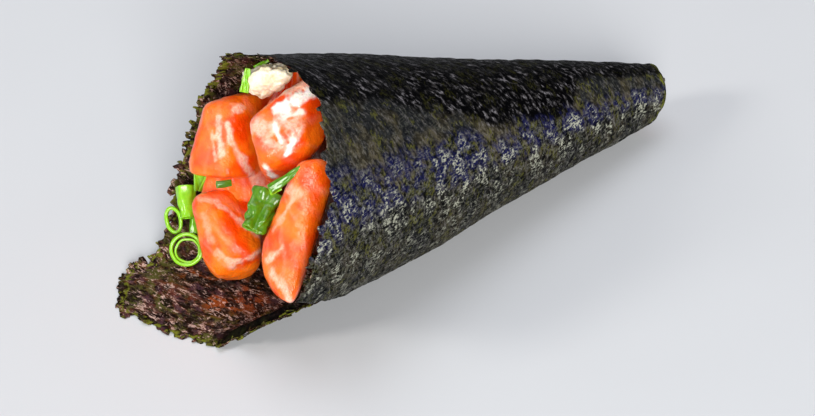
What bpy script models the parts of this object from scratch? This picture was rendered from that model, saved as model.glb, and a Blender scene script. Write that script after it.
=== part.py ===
"""A temaki hand roll lying on its side: one toasted nori sheet rolled into a cone round salmon.

The cone's axis lies along X with the tip towards +X, its open mouth faces -X, its back wall stands
on the +Y side and the plate is the plane Z = 0. The object's origin is the middle of its footprint.

The sheet is worked out flat first. A point of it is (u, v): u runs along the edge that becomes the
mouth and v runs away from the apex, the point where the cone would close if it went on. Its polar
place about the apex (rho, theta) then becomes a place on the cone: rho is the distance from the
apex and theta the way round. Every length below is in millimetres until MM turns it to metres.
"""

from math import cos, hypot, pi, radians, sin

import bmesh
import bpy
import numpy as np

MM = 0.001
COLLECTION = "temaki_hand_roll"

# Where the apex lies in the object's frame.
APEX = np.array([94.212, 1.574, 0.0])

# The nori sheet, flat.
SHEET_THICKNESS = 0.5
SHEET_INNER_EDGE = -97.5
SHEET_OUTER_EDGE = 64.7
SHEET_TIP_EDGE = 22.9
SHEET_MOUTH_EDGE = 133.9
MOUTH_EDGE_INSETS = (-1.3, 5.2, 7.3, -2.9, 1.0, -3.9)
INNER_EDGE_BULGE = 6.4
OUTER_EDGE_BULGE = 4.5

# The cone it is rolled into.
HALF_ANGLE = radians(13.41)
FOOT_ANGLE = radians(75.35)
LAYER_PITCH = 1.0
TIP_EXTRA_WIDTH = 0.8
TIP_EXTRA_HEIGHT = 2.1
TIP_LIFT = 1.7
MOUTH_WIDENING = 0.149
MOUTH_FLATTENING = -0.045
MOUTH_SHIFT = 0.030
MOUTH_SAG = -1.0
MOUTH_FROM = 100.0
LEAN = 0.139
LOBES = ((2, -0.050, -0.050), (3, 0.027, 0.050), (4, 0.050, 0.050))

# The filling.
GAP = 0.3
FILLING_CLEARANCE = 2.45
CORE_START = 32.0
CORE_DEPTH = 13.0

# The mouth's own leaning frame: ACROSS to the right, UP along the leaning opening, OUT of it.
MOUTH_CENTRE = np.array([-132.7, 4.0, 41.1])
MOUTH_TURN = radians(33.7)
MOUTH_TILT = radians(37.8)
ACROSS = np.array([cos(MOUTH_TURN), -sin(MOUTH_TURN), 0.0])
OUT = cos(MOUTH_TILT) * np.array([-sin(MOUTH_TURN), -cos(MOUTH_TURN), 0.0])
OUT = OUT + np.array([0.0, 0.0, sin(MOUTH_TILT)])
UP = np.cross(OUT, ACROSS)
MOUTH_NORMAL = np.array([-0.909, 0.169, 0.381])

# Name, place (across, up, out), half sizes, squareness, tilt in the mouth's frame in degrees.
SALMON_CHUNKS = (
    ("salmon_chunk_upper_back", (-6.2, -0.9, -17.0), (10.0, 11.4, 11.0), 2.6, 8),
    ("salmon_chunk_upper_front", (8.2, 0.3, 4.0), (10.4, 12.6, 11.0), 2.6, -12),
    ("salmon_chunk_lower_middle", (-7.7, -22.5, -16.5), (9.2, 11.6, 10.5), 2.9, 4),
    ("salmon_chunk_lower_front", (11.0, -20.4, 11.0), (6.6, 18.0, 8.4), 2.9, -17),
    ("salmon_chunk_top", (8.0, 11.6, -7.0), (5.5, 6.0, 6.0), 2.4, 20),
)
CREAM_CHEESE = ("cream_cheese", (2.0, 11.6, -3.5), (6.0, 4.6, 5.0), 2.2, 15)
ONION_LUMPS = (
    ("spring_onion_stalk", (-16.6, -17.6, -23.5), (2.6, 4.6, 2.4), 2.4, 14),
    ("spring_onion_stub", (-7.8, -11.4, -4.5), (1.7, 0.9, 1.3), 2.4, 0),
    ("spring_onion_sliver", (7.2, -7.8, 14.5), (0.9, 6.2, 0.8), 2.4, -38),
)
ONION_LEAF = ("spring_onion_leaf", (2.6, -17.3, 8.5), (3.6, 6.0), -22)
ONION_RINGS = (
    ("spring_onion_ring_round", (-18.5, -26.0, -20.5), (4.2, 4.2), 0, 1.6),
    ("spring_onion_ring_oval", (-20.6, -18.6, -23.5), (1.9, 3.8), 12, 1.4),
)
FIRM = ("leaf", "ring")
RING_WALL = 0.7
LEAF_WALL = 0.9

NORI = ((0.012, 0.018, 0.008), 0.42)
SALMON = ((0.86, 0.17, 0.035), 0.30)
CHEESE = ((0.90, 0.88, 0.80), 0.45)
ONION = ((0.12, 0.50, 0.02), 0.35)


def smooth(value, start, end):
    """0 before start, 1 after end, eased between."""
    t = np.clip((value - start) / (end - start), 0.0, 1.0)
    return t * t * (3.0 - 2.0 * t)


def outermost_angle(rho):
    """The largest theta that the sheet has at this distance from the apex."""
    at_tip_edge = np.arccos(np.clip(SHEET_TIP_EDGE / rho, -1.0, 1.0))
    at_outer_edge = np.arcsin(np.clip(SHEET_OUTER_EDGE / rho, -1.0, 1.0))
    return np.minimum(at_tip_edge, at_outer_edge)


def section(rho, phi):
    """Half width, half height and centre of the cone's section, for the way round phi."""
    radius = rho * sin(HALF_ANGLE)
    tip = 1.0 - smooth(rho, 20.0, 110.0)
    mouth = smooth(rho, MOUTH_FROM, 150.0)
    lobe = 1.0
    for order, in_phase, across_phase in LOBES:
        lobe = lobe + mouth * (
            in_phase * np.cos(order * phi) + across_phase * np.sin(order * phi)
        )
    half_width = radius * (1.0 + MOUTH_WIDENING * mouth) + TIP_EXTRA_WIDTH * tip
    half_height = radius * (1.0 + MOUTH_FLATTENING * mouth) + TIP_EXTRA_HEIGHT * tip
    lift = TIP_LIFT * (1.0 - smooth(rho, 10.0, 110.0)) + MOUTH_SAG * smooth(rho, 60.0, 130.0)
    centre_y = MOUTH_SHIFT * radius * mouth
    centre_z = lift + half_height
    return half_width * lobe, half_height * lobe, centre_y, centre_z


def on_cone(rho, phi, inwards, floor):
    """The point of the cone at (rho, phi), moved inwards and kept above the floor."""
    half_width, half_height, centre_y, centre_z = section(rho, phi)
    y = centre_y + (half_width - inwards) * np.cos(phi)
    z = centre_z + (half_height - inwards) * np.sin(phi)
    z = np.maximum(z, floor)
    x = -rho * cos(HALF_ANGLE) + (z - centre_z) * LEAN
    return np.stack(np.broadcast_arrays(x, y, z), axis=-1)


def sheet_surface(u, v):
    """The middle surface of the rolled sheet."""
    rho = np.hypot(u, v)
    theta = np.arctan2(u, v)
    turn = 2.0 * pi * sin(HALF_ANGLE)
    phi = FOOT_ANGLE + theta / sin(HALF_ANGLE)
    outermost = outermost_angle(rho)
    inwards = LAYER_PITCH * (outermost - theta) / turn
    covered = smooth(outermost - theta - turn, radians(-12.0), radians(-2.0))
    floor = SHEET_THICKNESS / 2.0 + LAYER_PITCH * covered
    return on_cone(rho, phi, inwards, floor)


def mouth_edge(u):
    """The v of the sheet's mouth edge, which isn't quite straight."""
    across = (u - SHEET_INNER_EDGE) / (SHEET_OUTER_EDGE - SHEET_INNER_EDGE)
    place = np.clip(across, 0.0, 1.0) * (len(MOUTH_EDGE_INSETS) - 1)
    left = np.clip(place.astype(int), 0, len(MOUTH_EDGE_INSETS) - 2)
    part = smooth(place - left, 0.0, 1.0)
    insets = np.array(MOUTH_EDGE_INSETS)
    return SHEET_MOUTH_EDGE - insets[left] * (1.0 - part) - insets[left + 1] * part


def outside_inner_wall(points, clearance):
    """How far each point is past the room inside the cone, with this clearance: below 0 inside."""
    x, y, z = points[..., 0], points[..., 1], points[..., 2]
    rho = -x / cos(HALF_ANGLE)
    for _ in range(4):
        centre_z = section(rho, 0.0)[3]
        rho = np.maximum((-x + (z - centre_z) * LEAN) / cos(HALF_ANGLE), 1.0)
    half_width, half_height, centre_y, centre_z = section(rho, 0.0)
    phi = np.arctan2((z - centre_z) / half_height, (y - centre_y) / half_width)
    half_width, half_height, centre_y, centre_z = section(rho, phi)
    inner_width = half_width - clearance
    inner_height = half_height - clearance
    ratio = np.hypot((y - centre_y) / inner_width, (z - centre_z) / inner_height)
    past_wall = (ratio - 1.0) * np.minimum(inner_width, inner_height)
    return np.maximum(past_wall, clearance + 0.2 - z)


def in_mouth(across, up, out):
    """A place in the mouth's leaning frame, as a place about the apex."""
    return MOUTH_CENTRE + across * ACROSS + up * UP + out * OUT


def lump_axes(tilt):
    """A lump's own three axes: the mouth's, turned by the tilt about OUT."""
    angle = radians(tilt)
    first = cos(angle) * ACROSS + sin(angle) * UP
    second = -sin(angle) * ACROSS + cos(angle) * UP
    return np.stack([first, second, OUT])


def lump_reach(directions, half_sizes, squareness, axes):
    """How far a lump reaches along each direction: the radius of a superellipsoid."""
    local = np.abs(directions @ axes.T) / np.array(half_sizes)
    return (local**squareness).sum(axis=-1) ** (-1.0 / squareness)


def lump_support(towards, half_sizes, squareness, axes):
    """How far a lump's furthest point lies along one direction."""
    dual = squareness / (squareness - 1.0)
    local = np.abs(axes @ towards) * np.array(half_sizes)
    return float((local**dual).sum() ** (1.0 / dual))


def room_along(centre, directions, most):
    """How far each direction goes from the centre before it leaves the room inside the cone."""
    near = np.zeros(len(directions))
    far = np.full(len(directions), most)
    for _ in range(24):
        middle = (near + far) / 2.0
        points = centre + directions * middle[:, None]
        inside = outside_inner_wall(points, FILLING_CLEARANCE) < 0.0
        near = np.where(inside, middle, near)
        far = np.where(inside, far, middle)
    return near


def lump_radii(directions, lump, others):
    """The reach of a lump, pressed flat against its neighbours, the core and the sheet."""
    _, place, half_sizes, squareness, tilt = lump
    centre = in_mouth(*place)
    axes = lump_axes(tilt)
    reach = lump_reach(directions, half_sizes, squareness, axes)
    reach = np.minimum(reach, room_along(centre, directions, 30.0))
    for other in others:
        other_centre = in_mouth(*other[1])
        apart = other_centre - centre
        distance = float(np.linalg.norm(apart))
        towards = apart / distance
        own = lump_support(towards, half_sizes, squareness, axes)
        theirs = lump_support(towards, other[2], other[3], lump_axes(other[4]))
        if other[0] in FIRM:
            share = distance - theirs - GAP
        else:
            share = distance * own / (own + theirs) - GAP / 2.0
        facing = directions @ towards
        limit = np.where(facing > 0.05, share / np.maximum(facing, 0.05), 1e3)
        reach = np.minimum(reach, limit)
    behind = (centre - MOUTH_CENTRE) @ MOUTH_NORMAL + CORE_DEPTH - GAP / 2.0
    facing = -(directions @ MOUTH_NORMAL)
    limit = np.where(facing > 0.05, behind / np.maximum(facing, 0.05), 1e3)
    return centre, np.minimum(reach, limit)


def finish(name, colour, roughness):
    """A material with this colour and roughness."""
    material = bpy.data.materials.new(name)
    material.use_nodes = True
    shader = next(n for n in material.node_tree.nodes if n.type == "BSDF_PRINCIPLED")
    shader.inputs["Base Color"].default_value = (*colour, 1.0)
    shader.inputs["Roughness"].default_value = roughness
    shader.inputs["Metallic"].default_value = 0.0
    return material


def add_solid(collection, name, points, faces, colour, roughness):
    """Makes one object from points about the apex and its faces."""
    mesh = bpy.data.meshes.new(name)
    placed = (np.asarray(points) + APEX) * MM
    mesh.from_pydata(placed.tolist(), [], [list(face) for face in faces])
    shaped = bmesh.new()
    shaped.from_mesh(mesh)
    bmesh.ops.recalc_face_normals(shaped, faces=shaped.faces)
    shaped.to_mesh(mesh)
    shaped.free()
    mesh.polygons.foreach_set("use_smooth", [True] * len(mesh.polygons))
    mesh.materials.append(finish(name + "_finish", colour, roughness))
    solid = bpy.data.objects.new(name, mesh)
    collection.objects.link(solid)
    return solid


def grid_faces(rows, columns, wrap):
    """Quads between the points of a grid, the columns joined round when wrap is set."""
    last = columns if wrap else columns - 1
    faces = []
    for row in range(rows - 1):
        for column in range(last):
            after = (column + 1) % columns
            here = row * columns
            there = here + columns
            faces.append((here + column, here + after, there + after, there + column))
    return faces


def add_sheet(collection):
    """The nori: its middle surface as a grid, then made solid."""
    columns, rows = 65, 18
    share = np.linspace(-1.0, 1.0, columns)
    easing = 0.62 * share + 0.38 * share**3
    along = (easing + 1.0) / 2.0
    down = np.linspace(0.0, 1.0, rows)[:, None]
    v_straight = SHEET_TIP_EDGE + down * (SHEET_MOUTH_EDGE - SHEET_TIP_EDGE)
    swell = np.sin(pi * smooth(v_straight, 60.0, 139.0))
    left = SHEET_INNER_EDGE - INNER_EDGE_BULGE * swell
    right = SHEET_OUTER_EDGE + OUTER_EDGE_BULGE * swell
    u = left + (right - left) * along
    v = SHEET_TIP_EDGE + down * (mouth_edge(u) - SHEET_TIP_EDGE)
    points = sheet_surface(u, v).reshape(-1, 3)
    sheet = add_solid(collection, "nori_sheet", points, grid_faces(rows, columns, False), *NORI)
    thicken = sheet.modifiers.new("thickness", "SOLIDIFY")
    thicken.thickness = SHEET_THICKNESS * MM
    thicken.offset = 0.0
    thicken.use_even_offset = False


def add_core(collection):
    """The salmon that fills the cone behind the chunks, from near the tip to under the mouth."""
    columns, rows = 30, 13
    phi = np.linspace(0.0, 2.0 * pi, columns, endpoint=False)
    near = np.full(columns, CORE_START)
    far = np.full(columns, 170.0)
    for _ in range(30):
        middle = (near + far) / 2.0
        points = on_cone(middle, phi, FILLING_CLEARANCE, FILLING_CLEARANCE + 0.2)
        depth = (points - MOUTH_CENTRE) @ MOUTH_NORMAL
        inside = depth < -CORE_DEPTH - GAP / 2.0
        near = np.where(inside, middle, near)
        far = np.where(inside, far, middle)
    down = np.linspace(0.0, 1.0, rows)[:, None]
    rho = CORE_START + down * (near - CORE_START)
    wall = on_cone(rho, phi, FILLING_CLEARANCE, FILLING_CLEARANCE + 0.2)
    rings = [wall[0].mean(axis=0)[None], *wall, wall[-1].mean(axis=0)[None]]
    points = np.concatenate(rings)
    faces = [
        tuple(index + 1 for index in face) for face in grid_faces(rows, columns, True)
    ]
    last = 1 + (rows - 1) * columns
    for column in range(columns):
        after = (column + 1) % columns
        faces.append((0, 1 + after, 1 + column))
        faces.append((len(points) - 1, last + column, last + after))
    add_solid(collection, "salmon_filling", points, faces, *SALMON)


def ball(columns, rows):
    """Directions over a ball and the faces between them, with one point at each pole."""
    height = np.linspace(pi / 2.0, -pi / 2.0, rows + 1)[1:-1][:, None]
    way = np.linspace(0.0, 2.0 * pi, columns, endpoint=False)
    directions = np.stack(
        np.broadcast_arrays(
            np.cos(height) * np.cos(way), np.sin(height), np.cos(height) * np.sin(way)
        ),
        axis=-1,
    ).reshape(-1, 3)
    directions = np.concatenate([[[0.0, 1.0, 0.0]], directions, [[0.0, -1.0, 0.0]]])
    faces = [
        tuple(index + 1 for index in face)
        for face in grid_faces(rows - 1, columns, True)
    ]
    last = 1 + (rows - 2) * columns
    for column in range(columns):
        after = (column + 1) % columns
        faces.append((0, 1 + after, 1 + column))
        faces.append((len(directions) - 1, last + column, last + after))
    return directions, faces


def add_lump(collection, lump, others, grid, finish_values):
    """A chunk of food, rounded where it is free and flat where it is pressed."""
    directions, faces = ball(*grid)
    directions = directions @ lump_axes(lump[4])
    centre, reach = lump_radii(directions, lump, others)
    add_solid(collection, lump[0], centre + directions * reach[:, None], faces, *finish_values)


def add_tube(collection, name, path_radii, height, wall, tilt, place):
    """A short cut of hollow onion stem: an oval band with a square-cut wall."""
    columns = 20
    way = np.linspace(0.0, 2.0 * pi, columns, endpoint=False)
    axes = lump_axes(tilt)
    rings = []
    for inset, level in ((0.0, -0.5), (0.0, 0.5), (wall, 0.5), (wall, -0.5)):
        ring = np.stack(
            [
                (path_radii[0] - inset) * np.cos(way),
                (path_radii[1] - inset) * np.sin(way),
                np.full(columns, level * height),
            ],
            axis=-1,
        )
        rings.append(ring @ axes)
    points = np.concatenate(rings) + in_mouth(*place)
    faces = grid_faces(4, columns, True)
    for column in range(columns):
        after = (column + 1) % columns
        faces.append((3 * columns + column, 3 * columns + after, after, column))
    add_solid(collection, name, points, faces, *ONION)


def add_leaf(collection):
    """A cut of onion leaf rolled into an open scroll, its length along UP."""
    name, place, sizes, tilt = ONION_LEAF
    columns, rows = 14, 5
    turn = np.linspace(radians(-50.0), radians(250.0), columns)
    level = np.linspace(-1.0, 1.0, rows)[:, None]
    axes = lump_axes(tilt)
    sheets = []
    for radius in (sizes[0], sizes[0] - LEAF_WALL):
        swell = radius * (1.0 - 0.12 * level**2)
        local = np.stack(
            np.broadcast_arrays(
                swell * np.cos(turn), sizes[1] * level, 0.75 * swell * np.sin(turn)
            ),
            axis=-1,
        )
        sheets.append(local.reshape(-1, 3) @ axes)
    points = np.concatenate(sheets) + in_mouth(*place)
    outer = grid_faces(rows, columns, False)
    count = rows * columns
    faces = list(outer) + [tuple(index + count for index in reversed(f)) for f in outer]
    for column in range(columns - 1):
        for start in (0, (rows - 1) * columns):
            a, b = start + column, start + column + 1
            faces.append((a, b, b + count, a + count))
    for row in range(rows - 1):
        for end in (0, columns - 1):
            a, b = row * columns + end, (row + 1) * columns + end
            faces.append((a, b, b + count, a + count))
    add_solid(collection, name, points, faces, *ONION)


def build():
    """Clears the scene and makes the hand roll."""
    for thing in list(bpy.data.objects):
        bpy.data.objects.remove(thing)
    collection = bpy.data.collections.new(COLLECTION)
    bpy.context.scene.collection.children.link(collection)

    add_sheet(collection)
    add_core(collection)

    leaf_room = ("leaf", ONION_LEAF[1], (4.2, 6.6, 3.4), 2.4, ONION_LEAF[3])
    ring_rooms = [
        ("ring", place, (radii[0] + 0.1, radii[1] + 0.1, height / 2.0 + 0.1), 4.0, tilt)
        for _, place, radii, tilt, height in ONION_RINGS
    ]
    rooms = [*SALMON_CHUNKS, CREAM_CHEESE, *ONION_LUMPS, leaf_room, *ring_rooms]

    def neighbours(name):
        return [room for room in rooms if room[0] != name]

    for chunk in SALMON_CHUNKS:
        add_lump(collection, chunk, neighbours(chunk[0]), (24, 16), SALMON)
    add_lump(collection, CREAM_CHEESE, neighbours(CREAM_CHEESE[0]), (18, 10), CHEESE)
    for lump in ONION_LUMPS:
        add_lump(collection, lump, neighbours(lump[0]), (14, 10), ONION)
    add_leaf(collection)
    for name, place, radii, tilt, height in ONION_RINGS:
        add_tube(collection, name, radii, height, RING_WALL, tilt, place)


build()
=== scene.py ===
"""Looks of a temaki hand roll lying on its side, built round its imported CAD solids.

Everything is placed about the apex, the point where the rolled cone would close if it went on.
Lengths in the classes are millimetres; `Piece.place` turns them to metres in the object's frame.
The filling is placed in the mouth's own leaning frame: across to the right, up along the leaning
opening, and out of it.
"""

import logging
from dataclasses import dataclass, field
from enum import Enum
from math import cos, pi, radians, sin
from typing import Any, Callable

import bmesh
import bpy
import numpy as np
from mathutils import Matrix


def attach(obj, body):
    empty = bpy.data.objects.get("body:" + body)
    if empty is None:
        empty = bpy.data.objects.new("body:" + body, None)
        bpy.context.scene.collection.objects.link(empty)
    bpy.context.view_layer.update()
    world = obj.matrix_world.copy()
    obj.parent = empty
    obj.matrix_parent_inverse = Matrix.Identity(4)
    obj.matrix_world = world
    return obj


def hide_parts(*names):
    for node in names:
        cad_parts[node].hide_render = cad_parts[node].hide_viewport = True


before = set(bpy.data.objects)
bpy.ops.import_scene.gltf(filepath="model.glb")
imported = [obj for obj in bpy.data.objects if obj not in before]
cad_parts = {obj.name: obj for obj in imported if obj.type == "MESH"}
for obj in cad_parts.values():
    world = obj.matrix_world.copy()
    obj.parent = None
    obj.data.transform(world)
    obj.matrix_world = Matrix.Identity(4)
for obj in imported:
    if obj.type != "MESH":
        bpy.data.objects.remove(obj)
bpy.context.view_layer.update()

Array = np.ndarray
Triple = tuple[float, float, float]
Pair = tuple[float, float]
Colour = tuple[float, float, float, float]
Socket = bpy.types.NodeSocket
MM = 0.001
BODY = "root"
FLAT_MAP = "flat_sheet"
FLAT_SCALE = 0.01
LOG = logging.getLogger("temaki")

# How far the sheet's faces stay above the floor, in millimetres.
LOWEST = 0.02

# Large odd numbers that scramble a lattice corner's own numbers into a random one.
LATTICE_KEYS = np.array([73856093, 19349663, 83492791])
SEED_KEY = 40503
SCRAMBLE_KEY = 1274126177


class Slot(Enum):
    """The record's material slots."""

    NORI = "nori"
    SALMON = "salmon"
    CHEESE = "cream_cheese"
    ONION = "spring_onion"


# ---------------------------------------------------------------- numbers


def smooth(value: Array | float, start: float, end: float) -> Array:
    """Eased step: 0 before start, 1 after end, and 3t^2 - 2t^3 between.

    Args:
        value: where to read the step.
        start: where it leaves 0.
        end: where it reaches 1.

    Returns:
        The step's height at each value.
    """
    t = np.clip((np.asarray(value) - start) / (end - start), 0.0, 1.0)
    return t * t * (3.0 - 2.0 * t)


def noise(points: Array, seed: int) -> Array:
    """Smooth noise from -1 to 1 whose lumps are one unit apart.

    Each corner of a whole-number lattice holds a random value, made by scrambling the corner's own
    numbers. A point blends the eight corners round it, with eased weights.

    Args:
        points: places, the last axis being x, y, z.
        seed: picks one noise out of many.

    Returns:
        The noise at each point.
    """
    cell = np.floor(points).astype(np.int64)
    part = points - cell
    part = part * part * (3.0 - 2.0 * part)
    total = np.zeros(points.shape[:-1])
    for corner in np.ndindex(2, 2, 2):
        step = np.array(corner)
        key = (cell + step) @ LATTICE_KEYS + seed * SEED_KEY
        key = (key ^ (key >> 13)) * SCRAMBLE_KEY
        key = (key ^ (key >> 15)) & 0xFFFF
        weight = np.prod(np.where(step == 1, part, 1.0 - part), axis=-1)
        total += weight * (key / 32767.5 - 1.0)
    return total


def layered_noise(points: Array, seed: int, layers: int = 3) -> Array:
    """Noise with finer noise on it: each layer has half the size and half the height.

    Args:
        points: places, in units of the coarsest lumps.
        seed: picks one noise out of many.
        layers: how many layers are added.

    Returns:
        The sum, roughly from -1 to 1.
    """
    total = np.zeros(points.shape[:-1])
    for layer in range(layers):
        total += noise(points * 2.0**layer, seed + layer) * 0.5**layer
    return total / (2.0 - 0.5 ** (layers - 1))


def flat_places(u: Array, v: Array) -> Array:
    """Two flat coordinates as points for the noise functions, with a third of nought."""
    u, v = np.broadcast_arrays(u, v)
    return np.stack([u, v, np.zeros_like(u)], axis=-1)


def bands(depth: Array) -> Array:
    """Layers one unit apart: 1 in the middle of each and 0 half way to the next."""
    return 1.0 - np.abs(depth - np.floor(depth) - 0.5) * 2.0


def furthest(holds: Callable[[Array], Array], near: Array, far: Array, steps: int) -> Array:
    """The largest values for which something holds, found by halving the range again and again.

    Args:
        holds: tells for each value whether it holds.
        near: values for which it does.
        far: values for which it does not.
        steps: how often the range is halved.

    Returns:
        The values.
    """
    for _ in range(steps):
        middle = (near + far) / 2.0
        held = holds(middle)
        near, far = np.where(held, middle, near), np.where(held, far, middle)
    return near


def linear(colour: str) -> Colour:
    """An sRGB hex colour as linear red, green, blue and alpha 1.

    Args:
        colour: six hex digits after a hash.

    Returns:
        The four linear values.
    """
    srgb = [int(colour[i : i + 2], 16) / 255.0 for i in (1, 3, 5)]
    red, green, blue = (
        c / 12.92 if c <= 0.04045 else ((c + 0.055) / 1.055) ** 2.4 for c in srgb
    )
    return (red, green, blue, 1.0)


# ---------------------------------------------------------------- meshes


def grid_faces(rows: int, columns: int, wrap_rows: bool = False, wrap_columns: bool = False) -> Array:
    """Quads between the points of a grid.

    Args:
        rows: how many rows of points.
        columns: how many points in a row.
        wrap_rows: whether the last row joins the first.
        wrap_columns: whether each row's last point joins its first.

    Returns:
        One row of four point numbers for each quad.
    """
    row = np.arange(rows if wrap_rows else rows - 1)[:, None]
    column = np.arange(columns if wrap_columns else columns - 1)[None, :]
    below = (row + 1) % rows * columns
    after = (column + 1) % columns
    corners = (row * columns + column, row * columns + after, below + after, below + column)
    return np.stack(np.broadcast_arrays(*corners), axis=-1).reshape(-1, 4)


@dataclass
class Piece:
    """A mesh in the making: points about the apex in millimetres, faces and named values.

    Attributes:
        name: the object's name.
        points: the points, about the apex.
        faces: quads or triangles, as arrays of point numbers.
        values: one number a point for each name, which materials read as attributes.
        flat: the place of each point on the flat sheet in millimetres, where there is one.
    """

    name: str
    points: Array
    faces: list[Array]
    values: dict[str, Array] = field(default_factory=dict)
    flat: Array | None = None

    def place(self, apex: Triple, material: bpy.types.Material) -> bpy.types.Object:
        """Makes the mesh object, smooth shaded, with its faces turned outwards.

        Args:
            apex: where the apex lies in the object's frame, in millimetres.
            material: what the piece is made of.

        Returns:
            The object, at the origin with its place in its mesh.
        """
        mesh = bpy.data.meshes.new(self.name)
        placed = (self.points + np.array(apex)) * MM
        mesh.from_pydata(placed.tolist(), [], [f for group in self.faces for f in group.tolist()])
        for name, values in self.values.items():
            attribute = mesh.attributes.new(name, "FLOAT", "POINT")
            attribute.data.foreach_set("value", values.astype(np.float32).ravel())
        mesh.polygons.foreach_set("use_smooth", np.ones(len(mesh.polygons), bool))
        mesh.materials.append(material)
        turned = bmesh.new()
        turned.from_mesh(mesh)
        bmesh.ops.recalc_face_normals(turned, faces=turned.faces)
        turned.to_mesh(mesh)
        turned.free()
        if self.flat is not None:
            corners = np.empty(len(mesh.loops), np.int32)
            mesh.loops.foreach_get("vertex_index", corners)
            layer = mesh.uv_layers.new(name=FLAT_MAP)
            layer.data.foreach_set("uv", (self.flat[corners] * FLAT_SCALE).astype(np.float32).ravel())
        made = bpy.data.objects.new(self.name, mesh)
        bpy.context.scene.collection.objects.link(made)
        return made


def join(name: str, pieces: list[Piece]) -> Piece:
    """Several pieces as one.

    Args:
        name: the new piece's name.
        pieces: pieces with the same named values.

    Returns:
        One piece.
    """
    starts = np.cumsum([0] + [len(p.points) for p in pieces])
    faces = [f + start for p, start in zip(pieces, starts) for f in p.faces]
    values = {k: np.concatenate([p.values[k] for p in pieces]) for k in pieces[0].values}
    flat = None if pieces[0].flat is None else np.concatenate([p.flat for p in pieces])
    return Piece(name, np.concatenate([p.points for p in pieces]), faces, values, flat)


def closed_sheet(name: str, front: Array, back: Array, values: dict[str, Array],
                 flat: Array | None = None) -> Piece:
    """A thin body from its two faces, given as grids of points, joined round their rim.

    Args:
        name: the piece's name.
        front: grid of points of the face that looks outwards.
        back: the same grid on the other face.
        values: named values on the grid; "back" is added, 0 in front and 1 behind.
        flat: the place of each grid point on the flat sheet.

    Returns:
        The closed body.
    """
    rows, columns = front.shape[:2]
    count = rows * columns
    quads = grid_faces(rows, columns)
    number = np.arange(count).reshape(rows, columns)
    rim = np.concatenate(
        [number[0, :-1], number[:-1, -1], number[-1, :0:-1], number[:0:-1, 0]]
    )
    following = np.roll(rim, -1)
    side = np.stack([following, rim, rim + count, following + count], axis=-1)
    both = {k: np.concatenate([v.ravel(), v.ravel()]) for k, v in values.items()}
    both["back"] = np.concatenate([np.zeros(count), np.ones(count)])
    points = np.concatenate([front.reshape(-1, 3), back.reshape(-1, 3)])
    if flat is not None:
        flat = np.concatenate([flat.reshape(-1, 2)] * 2)
    return Piece(name, points, [quads, quads[:, ::-1] + count, side], both, flat)


def capped_faces(rings: int, columns: int) -> list[Array]:
    """Faces over rings of points, closed by a fan round one point at each end.

    Args:
        rings: how many rings there are.
        columns: how many points each one has.

    Returns:
        The quads and both fans, for the first end's point, the rings and the last end's point.
    """
    quads = grid_faces(rings, columns, wrap_columns=True) + 1
    first = np.arange(columns) + 1
    following = np.roll(first, -1)
    last = (rings - 1) * columns
    head = np.stack([np.zeros_like(first), following, first], axis=-1)
    foot = np.full_like(first, rings * columns + 1)
    return [quads, head, np.stack([foot, first + last, following + last], axis=-1)]


def ball(columns: int, rows: int) -> tuple[Array, list[Array]]:
    """Directions evenly round a ball, with one point at each pole, and the faces between them.

    Args:
        columns: points round the middle.
        rows: steps from pole to pole.

    Returns:
        The directions and the faces.
    """
    height = np.linspace(pi / 2.0, -pi / 2.0, rows + 1)[1:-1][:, None]
    way = np.linspace(0.0, 2.0 * pi, columns, endpoint=False)[None, :]
    middle = np.stack(
        np.broadcast_arrays(
            np.cos(height) * np.cos(way), np.sin(height), -np.cos(height) * np.sin(way)
        ),
        axis=-1,
    ).reshape(-1, 3)
    directions = np.concatenate([[[0.0, 1.0, 0.0]], middle, [[0.0, -1.0, 0.0]]])
    return directions, [faces[:, ::-1] for faces in capped_faces(rows - 1, columns)]


# ---------------------------------------------------------------- materials


class Kind(Enum):
    """A kind of node: its type, its settings, the inputs given in order, and the output read."""

    VALUE = ("ShaderNodeAttribute", {}, (), "Fac")
    SPOT = ("ShaderNodeTexCoord", {}, (), "Object")
    FLAT_SPOT = ("ShaderNodeUVMap", {"uv_map": FLAT_MAP}, (), 0)
    TURN = ("ShaderNodeMapping", {}, ("Vector", "Rotation"), 0)
    SCALE = ("ShaderNodeMapping", {}, ("Vector", "Scale", "Location"), 0)
    NOISE = ("ShaderNodeTexNoise", {}, ("Vector", "Scale", "Detail", "Roughness"), 0)
    TIMES = ("ShaderNodeMath", {"operation": "MULTIPLY"}, (0, 1), 0)
    PLUS = ("ShaderNodeMath", {"operation": "ADD"}, (0, 1), 0)
    LARGER = ("ShaderNodeMath", {"operation": "MAXIMUM"}, (0, 1), 0)
    UNSIGNED = ("ShaderNodeMath", {"operation": "ABSOLUTE"}, (0,), 0)
    STEP = (
        "ShaderNodeMapRange", {"interpolation_type": "SMOOTHSTEP"},
        ("Value", "From Min", "From Max", "To Min", "To Max"), 0,
    )
    MIX = ("ShaderNodeMix", {"data_type": "RGBA"}, (0, 6, 7), 2)
    BUMP = ("ShaderNodeBump", {}, ("Height", "Distance", "Strength", "Normal"), 0)
    SURFACE = ("ShaderNodeBsdfPrincipled", {}, (), 0)
    OUTPUT = ("ShaderNodeOutputMaterial", {}, ("Surface",), None)


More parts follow.
